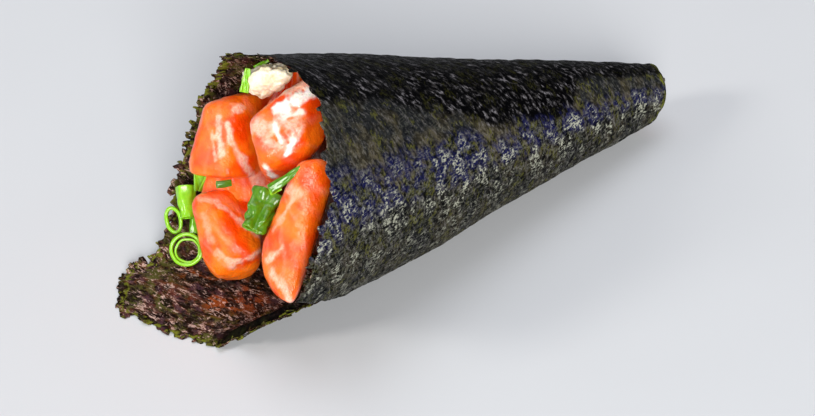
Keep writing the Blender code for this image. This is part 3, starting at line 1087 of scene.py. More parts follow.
@dataclass
class NoriShreds:
    """Shreds that stand out from the torn edges, each a thin flake that narrows to its end.

    Every shred starts a little inside an edge and runs out over it on the flat sheet, bent to one
    side. The rolled sheet's own formula, carried past its edge, gives its place.
    """

    sheet: NoriSheet
    count: int = 460
    seed: int = 5
    root: float = 0.8
    lengths: Pair = (0.1, 2.0)
    widths: Pair = (0.8, 2.8)
    turn_spread: float = 0.75
    bend_spread: float = 0.35
    lift_spread: float = 0.25
    narrowing: float = 0.55
    thickness: float = 0.18
    deepest: float = 2.2

    def starts(self, draw: np.random.Generator) -> tuple[Array, Array]:
        """Where the shreds start on the flat sheet, and the way each of them heads.

        Args:
            draw: the source of the random numbers.

        Returns:
            Both as rows of u and v.
        """
        u, v = self.sheet.flat_grid()
        # Grid columns and rows where the edges' parts meet. The clean front rim has few shreds;
        # the inner edge's first rows and the inner part of the tip's edge are hidden, with none.
        corner, foot, tip_end = 95, 60, 150
        edges = [
            (u[-1, corner:], v[-1, corner:], (0.0, 1.0), 0.50),
            (u[-1, :corner], v[-1, :corner], (0.0, 1.0), 0.08),
            (u[foot:, -1], v[foot:, -1], (-1.0, 0.0), 0.28),
            (u[0, :tip_end], v[0, :tip_end], (0.0, -1.0), 0.14),
        ]
        places, headings = [], []
        for edge_u, edge_v, (out_u, out_v), share in edges:
            picked = draw.integers(2, len(edge_u) - 2, int(self.count * share))
            places.append(np.stack([edge_u[picked], edge_v[picked]], axis=-1))
            turn = draw.normal(0.0, self.turn_spread, len(picked))[:, None]
            out, side = np.array([out_u, out_v]), np.array([-out_v, out_u])
            headings.append(np.cos(turn) * out + np.sin(turn) * side)
        return np.concatenate(places), np.concatenate(headings)

    def build(self) -> Piece:
        """All the shreds as one closed piece.

        Returns:
            The piece.
        """
        draw = np.random.default_rng(self.seed)
        start, heading = self.starts(draw)
        size = (len(start), 1, 1)
        shortest, longest = self.lengths
        length = shortest + (longest - shortest) * draw.uniform(0.0, 1.0, size) ** 3
        width = draw.uniform(*self.widths, size)
        bend = draw.normal(0.0, self.bend_spread, size)
        lift = draw.normal(0.0, self.lift_spread, size)
        depth = draw.uniform(0.0, self.deepest, size)
        depth = depth + 3.0 * self.sheet.clean(start[:, 0], start[:, 1])[:, None, None]
        along = np.linspace(0.0, 1.0, 6)[None, :, None]
        across = np.array([-1.0, 0.0, 1.0])[None, None, :]
        side = np.stack([-heading[:, 1], heading[:, 0]], axis=-1)[:, None, None]
        reach = along * (length + self.root) - self.root
        aside = 0.5 * width * across * (1.0 - self.narrowing * along**2.5) + bend * along**2
        flat = start[:, None, None] + reach[..., None] * heading[:, None, None]
        flat = flat + aside[..., None] * side
        u, v = flat[..., 0], flat[..., 1]
        middle = self.sheet.surface(u, v)
        step = 0.2
        normal = np.cross(
            self.sheet.surface(u - step, v) - middle, self.sheet.surface(u, v + step) - middle
        )
        normal /= np.maximum(np.linalg.norm(normal, axis=-1, keepdims=True), 1e-9)
        middle = middle + normal * (self.sheet.crinkle(u, v) + lift * along)[..., None]
        half = self.thickness / 2.0
        outer, inner = middle + half * normal, middle - half * normal
        outer[..., 2] = np.maximum(outer[..., 2], 2.0 * LOWEST)
        inner[..., 2] = np.maximum(inner[..., 2], LOWEST)
        none = np.zeros_like(u)
        values = {
            "edge": depth + none,
            "sheen_way": self.sheet.sheen_way(u, v),
            "way": self.sheet.way(u, v),
            "shade": none,
            "wet": none,
        }
        shreds = [
            closed_sheet("shred", outer[i], inner[i], {k: w[i] for k, w in values.items()}, flat[i])
            for i in range(len(start))
        ]
        return join("nori_shreds", shreds)


# ---------------------------------------------------------------- the filling


# How far behind the mouth the plain filling starts, and how far back the strip behind the chunks
# may reach; then how far any lump may reach, half the gap between two lumps, the gap between a lump
# and the sheet's middle surface, and how high a wipe of cheese stands. All are in millimetres.
CORE_DEPTH = 13.0
BEHIND_DEPTH = 30.0
LONGEST_REACH = 30.0
NEIGHBOUR_GAP = 0.05
SHEET_CLEARANCE = 0.75
SMEAR_HEIGHT = 0.20


@dataclass(frozen=True)
class Side:
    """A flat side of a chunk: the way it looks (across, up, out) and its distance from the centre."""

    across: float
    up: float
    out: float
    distance: float


@dataclass(frozen=True)
class Streak:
    """A mark on a chunk that runs from one place to another, both given as (across, up).

    Pale marks are partly fat and torn film and partly painted wet highlights; the others are wipes of
    soft cheese that stand proud.
    """

    start: Pair
    end: Pair
    half_width: float
    strength: float = 1.0
    cheese: bool = False

    def cover(self, place: Array, ragged: Array) -> Array:
        """How much of the mark covers each place: it fades with the distance from its line.

        Args:
            place: points in the mouth's frame.
            ragged: noise that tears its outline.

        Returns:
            The cover, from 0 to its strength.
        """
        start, line = np.array(self.start), np.array(self.end) - np.array(self.start)
        off = place[:, :2] - start
        share = np.clip(off @ line / max(line @ line, 1e-6), 0.0, 1.0)
        away = np.hypot(*(off - share[:, None] * line).T) / self.half_width
        return self.strength * smooth(1.0 - away + ragged, 0.0, 0.85)


@dataclass
class Lump:
    """A piece of the filling that reaches from its centre along every direction.

    Its reach is the power mean of its limits: one over the sum of (1 / limit)^p, to the power
    1 / p. A high p gives sharp edges between its sides.
    """

    node: str
    place: Triple
    half_sizes: Triple = (1.0, 1.0, 1.0)
    sharpness: float = 2.4
    tilt: float = 0.0
    lumpiness: float = 0.25
    lump_size: float = 3.0
    seed: int = 0
    grid: tuple[int, int] = (72, 48)

    def centre(self) -> Array:
        """The centre, about the apex."""
        return MOUTH.at(self.place)

    def load(self, directions: Array) -> Array:
        """The sum of (1 / limit)^p for directions about the apex: here a superellipsoid's."""
        local = np.abs(directions @ MOUTH.axes(self.tilt).T) / np.array(self.half_sizes)
        return (local**self.sharpness).sum(axis=-1)

    def support(self, towards: Array) -> float:
        """How far the furthest point lies along one direction."""
        directions = ball(40, 30)[0]
        reach = self.load(directions) ** (-1.0 / self.sharpness)
        return float((reach * (directions @ towards)).max())

    def pressed(self, directions: Array, others: "list[Lump]", core_depth: float) -> Array:
        """The sum of (1 / limit)^p where the piece is pressed by its neighbours and the sheet.

        Args:
            directions: directions from the centre.
            others: the neighbours, each met at a flat plane between the two.
            core_depth: how far behind the mouth the plain filling starts.

        Returns:
            The sum for each direction.
        """
        centre = self.centre()
        total = np.zeros(len(directions))
        for other in others:
            apart = other.centre() - centre
            distance = float(np.linalg.norm(apart))
            towards = apart / distance
            own, theirs = self.support(towards), other.support(-towards)
            if distance > own + theirs + 1.0:
                continue
            share = distance * own / (own + theirs) - NEIGHBOUR_GAP
            facing = np.clip(directions @ towards, 0.0, None)
            total += (facing / max(share, 0.3)) ** self.sharpness
        behind = MOUTH.height(centre) + core_depth
        facing = np.clip(-(directions @ np.array(MOUTH.normal)), 0.0, None)
        total += (facing / max(behind, 0.5)) ** self.sharpness

        def in_room(reach: Array) -> Array:
            """Whether the point at this reach lies inside the sheet."""
            return CONE.past_wall(centre + directions * reach[:, None], SHEET_CLEARANCE) < 0.0

        far = np.full(len(directions), LONGEST_REACH)
        room = furthest(in_room, np.zeros(len(directions)), far, 16)
        return total + (1.0 / room) ** self.sharpness

    def values(self, local: Array) -> dict[str, Array]:
        """The named values that the material reads, at points in the mouth's frame."""
        return {}

    def build(self, others: "list[Lump]", core_depth: float) -> Piece:
        """The piece as a closed body.

        Args:
            others: the neighbours that press on it.
            core_depth: how far behind the mouth the plain filling starts.

        Returns:
            The piece, named after its node.
        """
        directions, faces = ball(*self.grid)
        directions = directions @ MOUTH.axes(self.tilt)
        load = self.load(directions) + self.pressed(directions, others, core_depth)
        reach = load ** (-1.0 / self.sharpness)
        local = directions * reach[:, None] @ MOUTH.axes().T
        reach = reach + self.lumpiness * layered_noise(local / self.lump_size, self.seed, 3)
        values = self.values(local)
        if "smear" in values:
            reach = reach + SMEAR_HEIGHT * values["smear"]
        points = self.centre() + directions * reach[:, None]
        return Piece(self.node + "_food", points, faces, values)


@dataclass
class SalmonChunk(Lump):
    """A chunk cut with a knife, with flat sides that meet in softly rounded edges.

    The fat lies in thin bent layers one band apart, so it shows as lines on each cut side.
    """

    sides: tuple[Side, ...] = ()
    streaks: tuple[Streak, ...] = ()
    grain: Triple = (1.0, 0.25, 0.2)
    bend: float = 0.02
    band: float = 4.6
    fatness: float = 0.6
    sharpness: float = 9.0
    lumpiness: float = 0.5
    lump_size: float = 3.6
    grid: tuple[int, int] = (168, 112)

    def load(self, directions: Array) -> Array:
        """The sum of (d . n / distance)^p over the sides.

        Args:
            directions: directions d about the apex.

        Returns:
            The sum for each of them.
        """
        total = np.zeros(len(directions))
        axes = MOUTH.axes()
        for side in self.sides:
            normal = np.array([side.across, side.up, side.out])
            normal = normal / np.linalg.norm(normal) @ axes
            total += np.clip(directions @ normal / side.distance, 0.0, None) ** self.sharpness
        return total

    def values(self, local: Array) -> dict[str, Array]:
        """Layers of fat, a distance of one band apart along the grain, pale streaks that are partly fat
        and partly painted wet highlights, and wipes of cheese.

        Args:
            local: points in the mouth's frame, about the chunk's centre.

        Returns:
            The "fat", "smear" and "stain" at each point.
        """
        grain = np.array(self.grain) / np.linalg.norm(self.grain)
        along = local @ grain
        beside = local - along[:, None] * grain
        depth = along / self.band + self.bend * (beside**2).sum(axis=-1) / self.band
        depth = depth + 0.45 * layered_noise(local / 7.0, self.seed + 5, 2)
        strength = 0.65 + 0.6 * noise(local / 4.0, self.seed + 6)
        fat = self.fatness * smooth(bands(depth), 0.62, 0.98) * np.clip(strength, 0.1, 1.0)
        smear = np.zeros(len(local))
        place = local + np.array(self.place)
        front = smooth(local[:, 2], -3.0, 0.0)
        ragged = 0.95 * layered_noise(local / np.array([1.5, 1.5, 3.0]), self.seed + 8, 3)
        for streak in self.streaks:
            cover = front * streak.cover(place, ragged)
            # Pale streaks go into the fat value: partly fat, partly painted wet highlights.
            if streak.cheese:
                smear = np.maximum(smear, cover)
            else:
                fat = np.maximum(fat, cover)
        return {"fat": fat, "smear": smear, "painted_shade": np.zeros(len(local))}


CHUNKS = [
    SalmonChunk(
        node="salmon_chunk_upper_back",
        place=(-6.2, -0.9, -17.0),
        sides=(
            Side(-0.97, 0.23, 0.0, 8.2), Side(-0.29, 0.96, 0.0, 9.3), Side(0.54, 0.84, 0.0, 12.0),
            Side(1.0, 0.0, 0.0, 10.0), Side(-0.15, -0.99, 0.0, 9.7), Side(0.30, -0.95, 0.0, 10.1),
            Side(-0.45, 0.10, 0.88, 8.0), Side(0.65, 0.05, 0.75, 6.5), Side(0.0, 0.8, 0.6, 10.0),
            Side(0.0, 0.0, -1.0, 10.0),
        ),
        # Pale streaks on the left side: the short top one is a painted highlight patch, the others are
        # partly painted wet highlights and partly fat.
        streaks=(
            Streak((-5.6, 5.0), (-3.8, 5.4), 1.2, 0.9), Streak((-8.9, 3.6), (-9.1, -0.8), 1.1, 0.8),
            Streak((-9.1, -0.8), (-8.1, -4.6), 1.2, 0.9), Streak((-10.5, 0.7), (-9.6, -6.0), 0.6, 0.6),
            Streak((-6.7, 2.3), (-6.3, -0.8), 0.9, 0.9), Streak((-6.3, -0.8), (-4.7, -4.2), 1.0, 0.9),
            Streak((-4.7, -4.2), (-1.6, -9.4), 1.3, 0.9),
        ),
        grain=(1.0, 0.15, 0.3),
        fatness=0.14,
        seed=11,
    ),
    SalmonChunk(
        node="salmon_chunk_upper_front",
        place=(7.9, 0.3, 4.0),
        sides=(
            Side(-0.63, 0.78, 0.0, 7.7), Side(1.0, 0.15, 0.0, 9.3), Side(0.75, -0.66, 0.0, 7.1),
            Side(0.30, -0.95, 0.0, 10.2), Side(-0.97, -0.24, 0.0, 8.3), Side(-0.20, 0.45, 0.87, 7.0),
            Side(0.10, -0.40, 0.90, 7.5), Side(0.75, 0.0, 0.66, 7.0), Side(0.0, 0.0, -1.0, 10.0),
        ),
        streaks=(
            Streak((0.8, 0.6), (9.6, 3.2), 3.1, 0.85), Streak((3.0, -2.0), (7.4, -3.2), 1.9, 0.6),
            Streak((5.4, 8.4), (12.8, 11.4), 1.7, 0.85),
            Streak((5.0, 5.0), (13.8, 9.4), 1.7, 1.0, True),
            Streak((5.0, 1.8), (6.0, -1.6), 1.0, 0.8, True),
            Streak((9.0, -1.6), (7.6, -4.6), 1.0, 1.0, True),
            Streak((3.0, -7.4), (4.4, -9.8), 1.2, 1.0, True),
            Streak((10.8, 1.6), (8.6, -1.6), 1.1, 0.8), Streak((6.8, 3.4), (10.4, 4.6), 0.9, 0.7, True),
        ),
        grain=(0.5, 0.8, 0.2),
        fatness=0.14,
        seed=23,
    ),
    SalmonChunk(
        node="salmon_chunk_lower_middle",
        place=(-7.7, -22.5, -16.5),
        sides=(
            Side(-0.10, 1.0, 0.0, 10.0), Side(-0.66, 0.75, 0.0, 10.9), Side(-0.98, -0.18, 0.0, 6.4),
            Side(-0.70, -0.71, 0.0, 9.2), Side(0.20, -0.98, 0.0, 11.8), Side(0.97, -0.20, 0.0, 9.2),
            Side(0.97, 0.24, 0.0, 7.9), Side(-0.45, -0.15, 0.88, 7.0), Side(0.50, 0.50, 0.70, 6.5),
            Side(0.35, -0.75, 0.55, 9.5), Side(0.0, 0.0, -1.0, 10.0),
        ),
        # The first three streaks form a painted highlight along a wet ridge.
        streaks=(
            Streak((-13.5, -14.6), (-9.7, -15.4), 0.9, 0.45),
            Streak((-9.7, -15.4), (-3.9, -19.8), 0.9, 0.75),
            Streak((-3.9, -19.8), (1.6, -25.0), 0.9, 0.75),
            Streak((-5.8, -29.6), (0.0, -26.6), 1.0, 0.8),
            Streak((-8.6, -27.0), (-5.8, -29.6), 1.5, 0.6),
            Streak((-12.4, -18.3), (-11.0, -24.0), 1.3, 0.35),
        ),
        grain=(0.55, 0.75, 0.2),
        fatness=0.18,
        seed=37,
    ),
    SalmonChunk(
        node="salmon_chunk_lower_front",
        place=(10.0, -20.0, 11.0),
        sides=(
            Side(-0.92, 0.38, 0.0, 5.7), Side(-1.0, -0.10, 0.0, 9.1), Side(-0.75, -0.66, 0.0, 13.5),
            Side(0.20, -0.98, 0.0, 17.5), Side(0.95, -0.30, 0.0, 4.4), Side(1.0, 0.10, 0.0, 10.0),
            Side(-0.20, 0.98, 0.0, 14.7), Side(-0.60, 0.10, 0.79, 5.5), Side(0.50, -0.10, 0.86, 5.6),
            Side(-0.10, 0.0, 1.0, 5.5), Side(0.0, 0.0, -1.0, 7.5),
        ),
        streaks=(
            Streak((3.6, -27.2), (6.6, -24.4), 1.1, 0.85), Streak((4.2, -29.0), (8.2, -36.0), 1.0, 0.8),
            Streak((6.4, -30.5), (8.6, -36.0), 0.7, 0.7), Streak((12.2, -5.0), (17.0, -3.6), 1.0, 0.75),
            Streak((7.2, -11.6), (10.5, -12.8), 1.7, 0.6),
            Streak((9.2, -14.0), (4.6, -21.0), 0.8, 0.55),
        ),
        grain=(0.85, 0.3, 0.3),
        fatness=0.18,
        band=3.6,
        seed=41,
    ),
    SalmonChunk(
        node="salmon_chunk_top",
        place=(8.6, 10.8, -6.5),
        sides=(
            Side(1.0, 0.2, 0.0, 4.0), Side(-1.0, 0.6, 0.0, 3.4), Side(0.1, 1.0, 0.0, 4.2),
            Side(0.0, -1.0, 0.0, 6.0), Side(0.3, 0.1, 0.9, 5.0), Side(0.0, 0.0, -1.0, 5.5),
        ),
        grain=(1.0, 0.0, 0.2),
        band=1.6,
        grid=(96, 64),
        seed=53,
    ),
]
BEHIND = SalmonChunk(
    node="salmon_filling",
    place=(-4.6, -11.6, -20.5),
    sides=(
        Side(-1.0, 0.3, 0.0, 8.0),
        Side(1.0, 0.2, 0.0, 8.0),
        Side(0.0, 1.0, 0.0, 4.0),
        Side(0.0, -1.0, 0.0, 4.0),
        Side(-0.2, 0.1, 0.95, 5.5),
        Side(0.0, 0.0, -1.0, 4.0),
    ),
    streaks=(Streak((-1.8, -9.6), (2.2, -13.4), 1.6, 0.8),),
    fatness=0.3,
    grid=(96, 64),
    seed=83,
)
CHEESE = Lump(
    "cream_cheese", (4.2, 12.1, -2.5), (6.6, 4.7, 5.0), 2.2, 12.0,
    lumpiness=2.0, lump_size=2.4, seed=61, grid=(96, 64),
)


@dataclass
class SalmonCore:
    """The salmon that fills the cone behind the chunks, from near the tip to under the mouth.

    Each line of it runs along the cone's wall until it meets the plane behind the chunks. Towards
    the front foot it stops short, which leaves a dark gap between the chunks and the sheet, and
    there it is painted nearly black as shade.
    """

    start: float = 32.0
    depth: float = CORE_DEPTH
    clearance: float = 2.3
    front_gap: float = 36.0
    gap_way: float = radians(212.0)
    gap_power: float = 1.6
    longest: float = 170.0
    columns: int = 96
    rows: int = 60

    def wall(self, rho: Array, phi: Array) -> Array:
        """Points on the core's side, just inside the sheet."""
        return CONE.point(rho, phi, self.clearance, self.clearance + 0.2)

    def values(self, points: Array) -> dict[str, Array]:
        """Layers of fat, and painted shade where the core lies deep behind the chunks.

        Args:
            points: points about the apex.

        Returns:
            The "fat", "smear" and "stain" at each point.
        """
        depth = points @ np.array([0.3, 0.8, 0.5]) / 3.0 + 0.5 * layered_noise(points / 7.0, 73, 2)
        # Painted shade: deep behind the chunks, towards the front foot, the core is darkened nearly to
        # black.
        painted_shade = smooth(-MOUTH.height(points), self.depth + 1.0, self.depth + 6.0)
        painted_shade = painted_shade * smooth(-points[:, 0], 80.0, 95.0)
        fat = smooth(bands(depth), 0.7, 0.96) * 0.7 * (1.0 - painted_shade)
        return {"fat": fat, "smear": np.zeros(len(points)), "painted_shade": 0.96 * painted_shade}

    def build(self) -> Piece:
        """The core as a closed body.

        Returns:
            The piece, closed by a flat fan at each end.
        """
        phi = np.linspace(0.0, 2.0 * pi, self.columns, endpoint=False)
        sunk = self.front_gap * np.clip(np.cos(phi - self.gap_way), 0.0, 1.0) ** self.gap_power

        def behind_chunks(rho: Array) -> Array:
            """Whether the wall's point at this rho is still behind the chunks."""
            return MOUTH.height(self.wall(rho, phi)) < -self.depth - 0.2 - sunk

        near, far = np.full(self.columns, self.start), np.full(self.columns, self.longest)
        end_rho = furthest(behind_chunks, near, far, 24)
        down = np.linspace(0.0, 1.0, self.rows)[:, None]
        wall = self.wall(self.start + down * (end_rho - self.start), phi)
        middle = wall.mean(axis=1, keepdims=True)
        closing = np.linspace(0.05, 0.98, 16)[:, None, None]
        start = middle[:1] + (wall[:1] - middle[:1]) * closing
        end = middle[-1:] + (wall[-1:] - middle[-1:]) * closing[::-1]
        grid = np.concatenate([start, wall, end])
        ripple = layered_noise(grid / 5.0, 71, 3)[..., None] * np.array([0.5, 0.0, 0.0])
        grid = grid + ripple * (np.arange(len(grid)) > 20)[:, None, None]
        ends = [grid[i].mean(axis=0)[None] for i in (0, -1)]
        points = np.concatenate([ends[0], grid.reshape(-1, 3), ends[1]])
        faces = capped_faces(len(grid), self.columns)
        return Piece("salmon_core", points, faces, self.values(points))


@dataclass
class OnionCut:
    """A cut of hollow onion leaf: a curved wall carried along its own axis.

    The wall is a part of an oval, from one angle to another. Along the axis it narrows by a taper
    and bends by a bow, and it is wavy by a small noise. All sizes are in millimetres.
    """

    node: str
    place: Triple
    radii: Pair
    length: float
    wall: float = 0.7
    start: float = 0.0
    end: float = 360.0
    tilt: float = 0.0
    lean: float = 0.0
    taper: float = 0.0
    bow: float = 0.0
    waviness: float = 0.15
    dark: float = 0.0
    pale: float = 0.0
    seed: int = 0
    columns: int = 72
    rows: int = 30

    def axes(self) -> Array:
        """The two axes of the oval and the leaf's length as rows, about the apex."""
        across, up, out = MOUTH.axes(self.tilt)
        angle = radians(self.lean)
        length = cos(angle) * out + sin(angle) * up
        return np.stack([across, cos(angle) * up - sin(angle) * out, length])

    def wall_face(self, inset: float) -> Array:
        """One face of the wall.

        Args:
            inset: how far it lies inside the outer face.

        Returns:
            A grid of points about the apex.
        """
        way = np.radians(np.linspace(self.start, self.end, self.columns))[None, :]
        level = np.linspace(-0.5, 0.5, self.rows)[:, None]
        narrow = 1.0 - self.taper * (level + 0.5) ** 1.5
        wave = self.waviness * noise(
            np.stack(
                np.broadcast_arrays(2.0 * np.cos(way), 2.0 * np.sin(way), level * self.length / 2.0),
                axis=-1,
            ),
            self.seed,
        )
        across = (self.radii[0] * narrow - inset + wave) * np.cos(way)
        up = (self.radii[1] * narrow - inset + wave) * np.sin(way) + self.bow * (4.0 * level**2 - 1.0)
        local = np.stack(np.broadcast_arrays(across, up, level * self.length), axis=-1)
        return MOUTH.at(self.place) + local @ self.axes()

    def build(self) -> Piece:
        """The cut as a closed body; a whole ring has its two seams joined by its own overlap.

        Returns:
            The piece, paler inside and on its cut ends.
        """
        outer, inner = self.wall_face(0.0), self.wall_face(self.wall)
        level = np.linspace(-0.5, 0.5, self.rows)[:, None] + np.zeros((1, self.columns))
        pale = smooth(np.abs(level) * self.length, self.length / 2.0 - 0.25, self.length / 2.0)
        values = {"pale": 0.55 * pale, "dark": np.full_like(level, self.dark)}
        if self.end - self.start < 359.0:
            piece = closed_sheet(self.node, outer, inner, values)
        else:
            faces = np.concatenate([outer[:, :-1], inner[::-1, :-1]])
            flat = {name: np.concatenate([v[:, :-1], v[::-1, :-1]]) for name, v in values.items()}
            flat["back"] = np.concatenate([np.zeros_like(level[:, :-1]), np.ones_like(level[:, :-1])])
            quads = grid_faces(len(faces), self.columns - 1, wrap_rows=True, wrap_columns=True)
            piece = Piece(
                self.node, faces.reshape(-1, 3), [quads], {k: v.ravel() for k, v in flat.items()}
            )
        back = piece.values.pop("back")
        piece.values["pale"] = np.maximum(np.maximum(piece.values["pale"], 0.5 * back), self.pale)
        return piece


ONION_CUTS = [
    OnionCut("spring_onion_ring_round", (-17.1, -26.6, -20.0), (3.9, 3.9), 1.9, 0.8, seed=3),
    OnionCut("spring_onion_ring_round", (-16.8, -26.9, -19.9), (3.0, 2.9), 1.5, 0.5, seed=5),
    OnionCut("spring_onion_ring_oval", (-20.3, -20.0, -23.0), (2.0, 3.3), 1.8, 0.8, tilt=14.0, seed=7),
    OnionCut(
        "spring_onion_stalk", (-17.4, -15.9, -22.0), (2.2, 1.9), 7.4, 0.6,
        tilt=6.0, lean=-76.0, taper=0.25, bow=0.3, waviness=0.35, pale=0.55, seed=9,
    ),
    OnionCut(
        "spring_onion_stalk", (-15.2, -20.4, -22.4), (1.4, 1.2), 5.6, 0.5, -30.0, 210.0,
        tilt=-4.0, lean=-80.0, seed=19, columns=40,
    ),
    OnionCut(
        "spring_onion_stub", (-7.5, -11.3, -6.5), (0.8, 0.75), 3.4, 0.35,
        tilt=-84.0, lean=-72.0, dark=0.75, seed=13, columns=36,
    ),
    OnionCut(
        "spring_onion_sliver", (7.6, -9.6, 15.2), (1.1, 0.8), 8.6, 0.35, 190.0, 350.0,
        tilt=-55.0, lean=86.0, taper=0.55, dark=0.55, waviness=0.25, seed=15, columns=30,
    ),
    OnionCut(
        "spring_onion_leaf", (1.8, -17.0, 8.0), (3.2, 1.9), 9.6, 0.45,
        tilt=-24.0, lean=-66.0, taper=0.25, bow=0.3, waviness=0.95, dark=0.6, seed=17,
    ),
]
ONION_BITS = [
    OnionCut(
        "spring_onion_bits", (-14.2, -10.6, -20.0), (1.7, 1.2), 4.8, 0.4, 0.0, 180.0,
        tilt=18.0, lean=80.0, taper=0.7, waviness=0.3, seed=21, columns=30,
    ),
    OnionCut(
        "spring_onion_bits", (-12.2, -11.6, -18.5), (1.4, 1.0), 4.4, 0.4, 0.0, 180.0,
        tilt=-16.0, lean=78.0, taper=0.6, waviness=0.3, pale=0.4, seed=22, columns=30,
    ),
    OnionCut(
        "spring_onion_bits", (-2.0, 11.6, 0.6), (1.0, 0.7), 5.4, 0.3, 0.0, 180.0,
        tilt=-10.0, lean=84.0, taper=0.5, waviness=0.3, pale=0.6, seed=23, columns=24,
    ),
    OnionCut(
        "spring_onion_bits", (1.2, 15.3, -3.2), (0.6, 0.5), 3.6, 0.25, 0.0, 180.0,
        tilt=-58.0, lean=86.0, taper=0.6, waviness=0.3, seed=24, columns=24,
    ),
    OnionCut(
        "spring_onion_bits", (5.2, -11.9, 14.0), (1.0, 0.8), 2.6, 0.3, 190.0, 350.0,
        tilt=-70.0, lean=80.0, taper=0.4, waviness=0.3, pale=0.5, seed=25, columns=24,
    ),
]


# ---------------------------------------------------------------- the studio


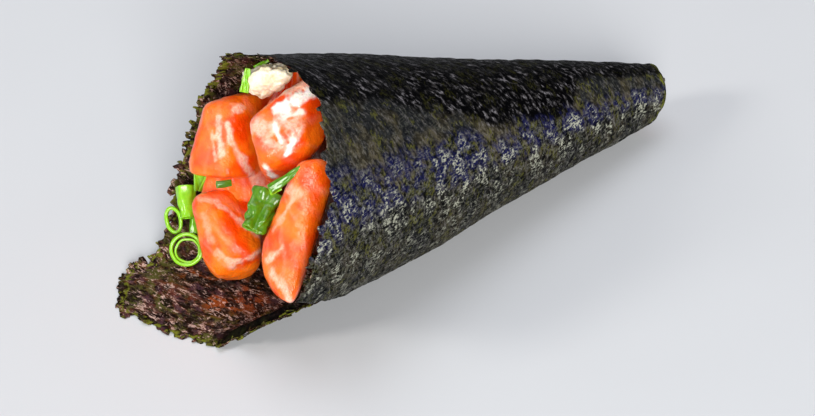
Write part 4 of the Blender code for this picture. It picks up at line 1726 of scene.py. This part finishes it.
@dataclass
class Studio:
    """A plain pale floor, soft lights and the camera, in metres in the object's frame."""

    target: Triple = (-0.02, 0.0, 0.03)
    camera_place: Triple = (-0.23776, -0.35336, 0.360)
    heading: float = 33.72
    dip: float = 39.75
    lens: float = 103.98
    sensor: float = 36.0
    floor_half_sizes: Pair = (6.0, 2.0)
    floor_colour: str = "#d3d6da"
    sky_colour: str = "#eef2fa"
    sky_strength: float = 0.24

    def stand(self, data: bpy.types.ID, place: Triple, forward: Array) -> bpy.types.Object:
        """Stands a light or the camera at a place, upright and looking forward.

        Args:
            data: the light or the camera.
            place: where it stands.
            forward: the direction that it looks along, of length 1.

        Returns:
            The object.
        """
        side = np.cross(forward, [0.0, 0.0, 1.0])
        side = side / np.linalg.norm(side)
        axes = np.stack([side, np.cross(side, forward), -forward], axis=1)
        matrix = Matrix(axes.tolist()).to_4x4()
        matrix.translation = place
        made = bpy.data.objects.new(data.name, data)
        made.matrix_world = matrix
        bpy.context.scene.collection.objects.link(made)
        return made

    def light(self, name: str, place: Triple, power: float, size: float, colour: str) -> None:
        """A square soft light aimed at the roll's middle."""
        made = bpy.data.lights.new(name, "AREA")
        made.energy, made.size, made.color = power, size, linear(colour)[:3]
        forward = np.array(self.target) - np.array(place)
        self.stand(made, place, forward / np.linalg.norm(forward))

    def camera(self) -> None:
        """The camera, looking along its heading and dipping below the horizon."""
        heading, dip = radians(self.heading), radians(self.dip)
        forward = np.array([sin(heading) * cos(dip), cos(heading) * cos(dip), -sin(dip)])
        made = bpy.data.cameras.new("camera")
        made.lens, made.sensor_width, made.sensor_fit = self.lens, self.sensor, "HORIZONTAL"
        made.clip_start, made.clip_end = 0.01, 20.0
        bpy.context.scene.camera = self.stand(made, self.camera_place, forward)

    def floor(self) -> bpy.types.Object:
        """A broad flat matt board with faint cloudy tones.

        Returns:
            The board, its top at height 0.
        """
        across, along = self.floor_half_sizes
        corners = [(x, y, 0.0) for y in (-along, along) for x in (-across, across)]
        mesh = bpy.data.meshes.new("floor")
        mesh.from_pydata(corners, [], grid_faces(2, 2).tolist())
        recipe = Recipe("floor_matt_white_board")
        red, green, blue, alpha = linear(self.floor_colour)
        dimmed = (0.985 * red, 0.985 * green, 0.985 * blue, alpha)
        cloud = recipe.add(Kind.STEP, recipe.lumps(60.0), 0.3, 0.7)
        colour = recipe.add(Kind.MIX, cloud, self.floor_colour, dimmed)
        mesh.materials.append(recipe.finished({"Base Color": colour, "Roughness": 0.65}))
        made = bpy.data.objects.new("floor", mesh)
        bpy.context.scene.collection.objects.link(made)
        return made

    def world(self) -> None:
        """A dim even light from all round."""
        world = bpy.data.worlds.new("studio")
        world.use_nodes = True
        ground = next(n for n in world.node_tree.nodes if n.type == "BACKGROUND")
        ground.inputs["Color"].default_value = linear(self.sky_colour)
        ground.inputs["Strength"].default_value = self.sky_strength
        bpy.context.scene.world = world

    def build(self) -> None:
        """Sets up the floor, the lights, the camera and the view transform."""
        self.floor()
        self.camera()
        self.world()
        self.light("key", (-1.9, 0.40, 1.20), 18.0, 0.5, "#fffaf2")
        self.light("fill", (-0.95, -1.8, 0.95), 60.0, 1.0, "#fffcf8")
        self.light("overhead", (0.1, 0.4, 2.2), 18.0, 1.6, "#f8f9ff")
        bpy.context.scene.view_settings.view_transform = "Standard"


# ---------------------------------------------------------------- putting it together


@dataclass
class HandRoll:
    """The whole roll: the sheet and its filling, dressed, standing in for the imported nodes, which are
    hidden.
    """

    apex: Triple = (94.212, 1.574, 0.0)
    sheet: NoriSheet = field(default_factory=NoriSheet)
    core: SalmonCore = field(default_factory=SalmonCore)

    def add(self, piece: Piece, material: bpy.types.Material, slot: Slot, *nodes: str) -> None:
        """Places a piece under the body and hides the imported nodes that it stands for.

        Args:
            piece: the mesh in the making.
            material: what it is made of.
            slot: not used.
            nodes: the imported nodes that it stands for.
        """
        made = piece.place(self.apex, material)
        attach(made, BODY)
        if nodes:
            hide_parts(*nodes)
        LOG.info("%s: %d faces", made.name, len(made.data.polygons))

    def build(self) -> None:
        """Builds every piece in order."""
        nori = ToastedNori().material()
        self.add(self.sheet.build(), nori, Slot.NORI, "nori_sheet")
        self.add(NoriShreds(self.sheet).build(), nori, Slot.NORI)
        salmon = RawSalmon().material()
        filling = join("salmon_filling_food", [self.core.build(), BEHIND.build([], BEHIND_DEPTH)])
        self.add(filling, salmon, Slot.SALMON, "salmon_filling")
        lumps = [*CHUNKS, CHEESE]
        for chunk in CHUNKS:
            others = [lump for lump in lumps if lump is not chunk]
            self.add(chunk.build(others, CORE_DEPTH), salmon, Slot.SALMON, chunk.node)
        blob = CHEESE.build(list(CHUNKS), CORE_DEPTH)
        self.add(blob, SoftCheese().material(), Slot.CHEESE, "cream_cheese")
        onion = SpringOnion().material()
        for node in dict.fromkeys(cut.node for cut in ONION_CUTS):
            cuts = [cut.build() for cut in ONION_CUTS if cut.node == node]
            self.add(join(node + "_cut", cuts), onion, Slot.ONION, node)
        bits = join("spring_onion_bits", [cut.build() for cut in ONION_BITS])
        self.add(bits, onion, Slot.ONION)


def main() -> None:
    """Builds the roll and its studio, and notes the sizes."""
    logging.basicConfig(level=logging.INFO, format="%(message)s")
    HandRoll().build()
    Studio().build()


if __name__ == "__main__":
    main()
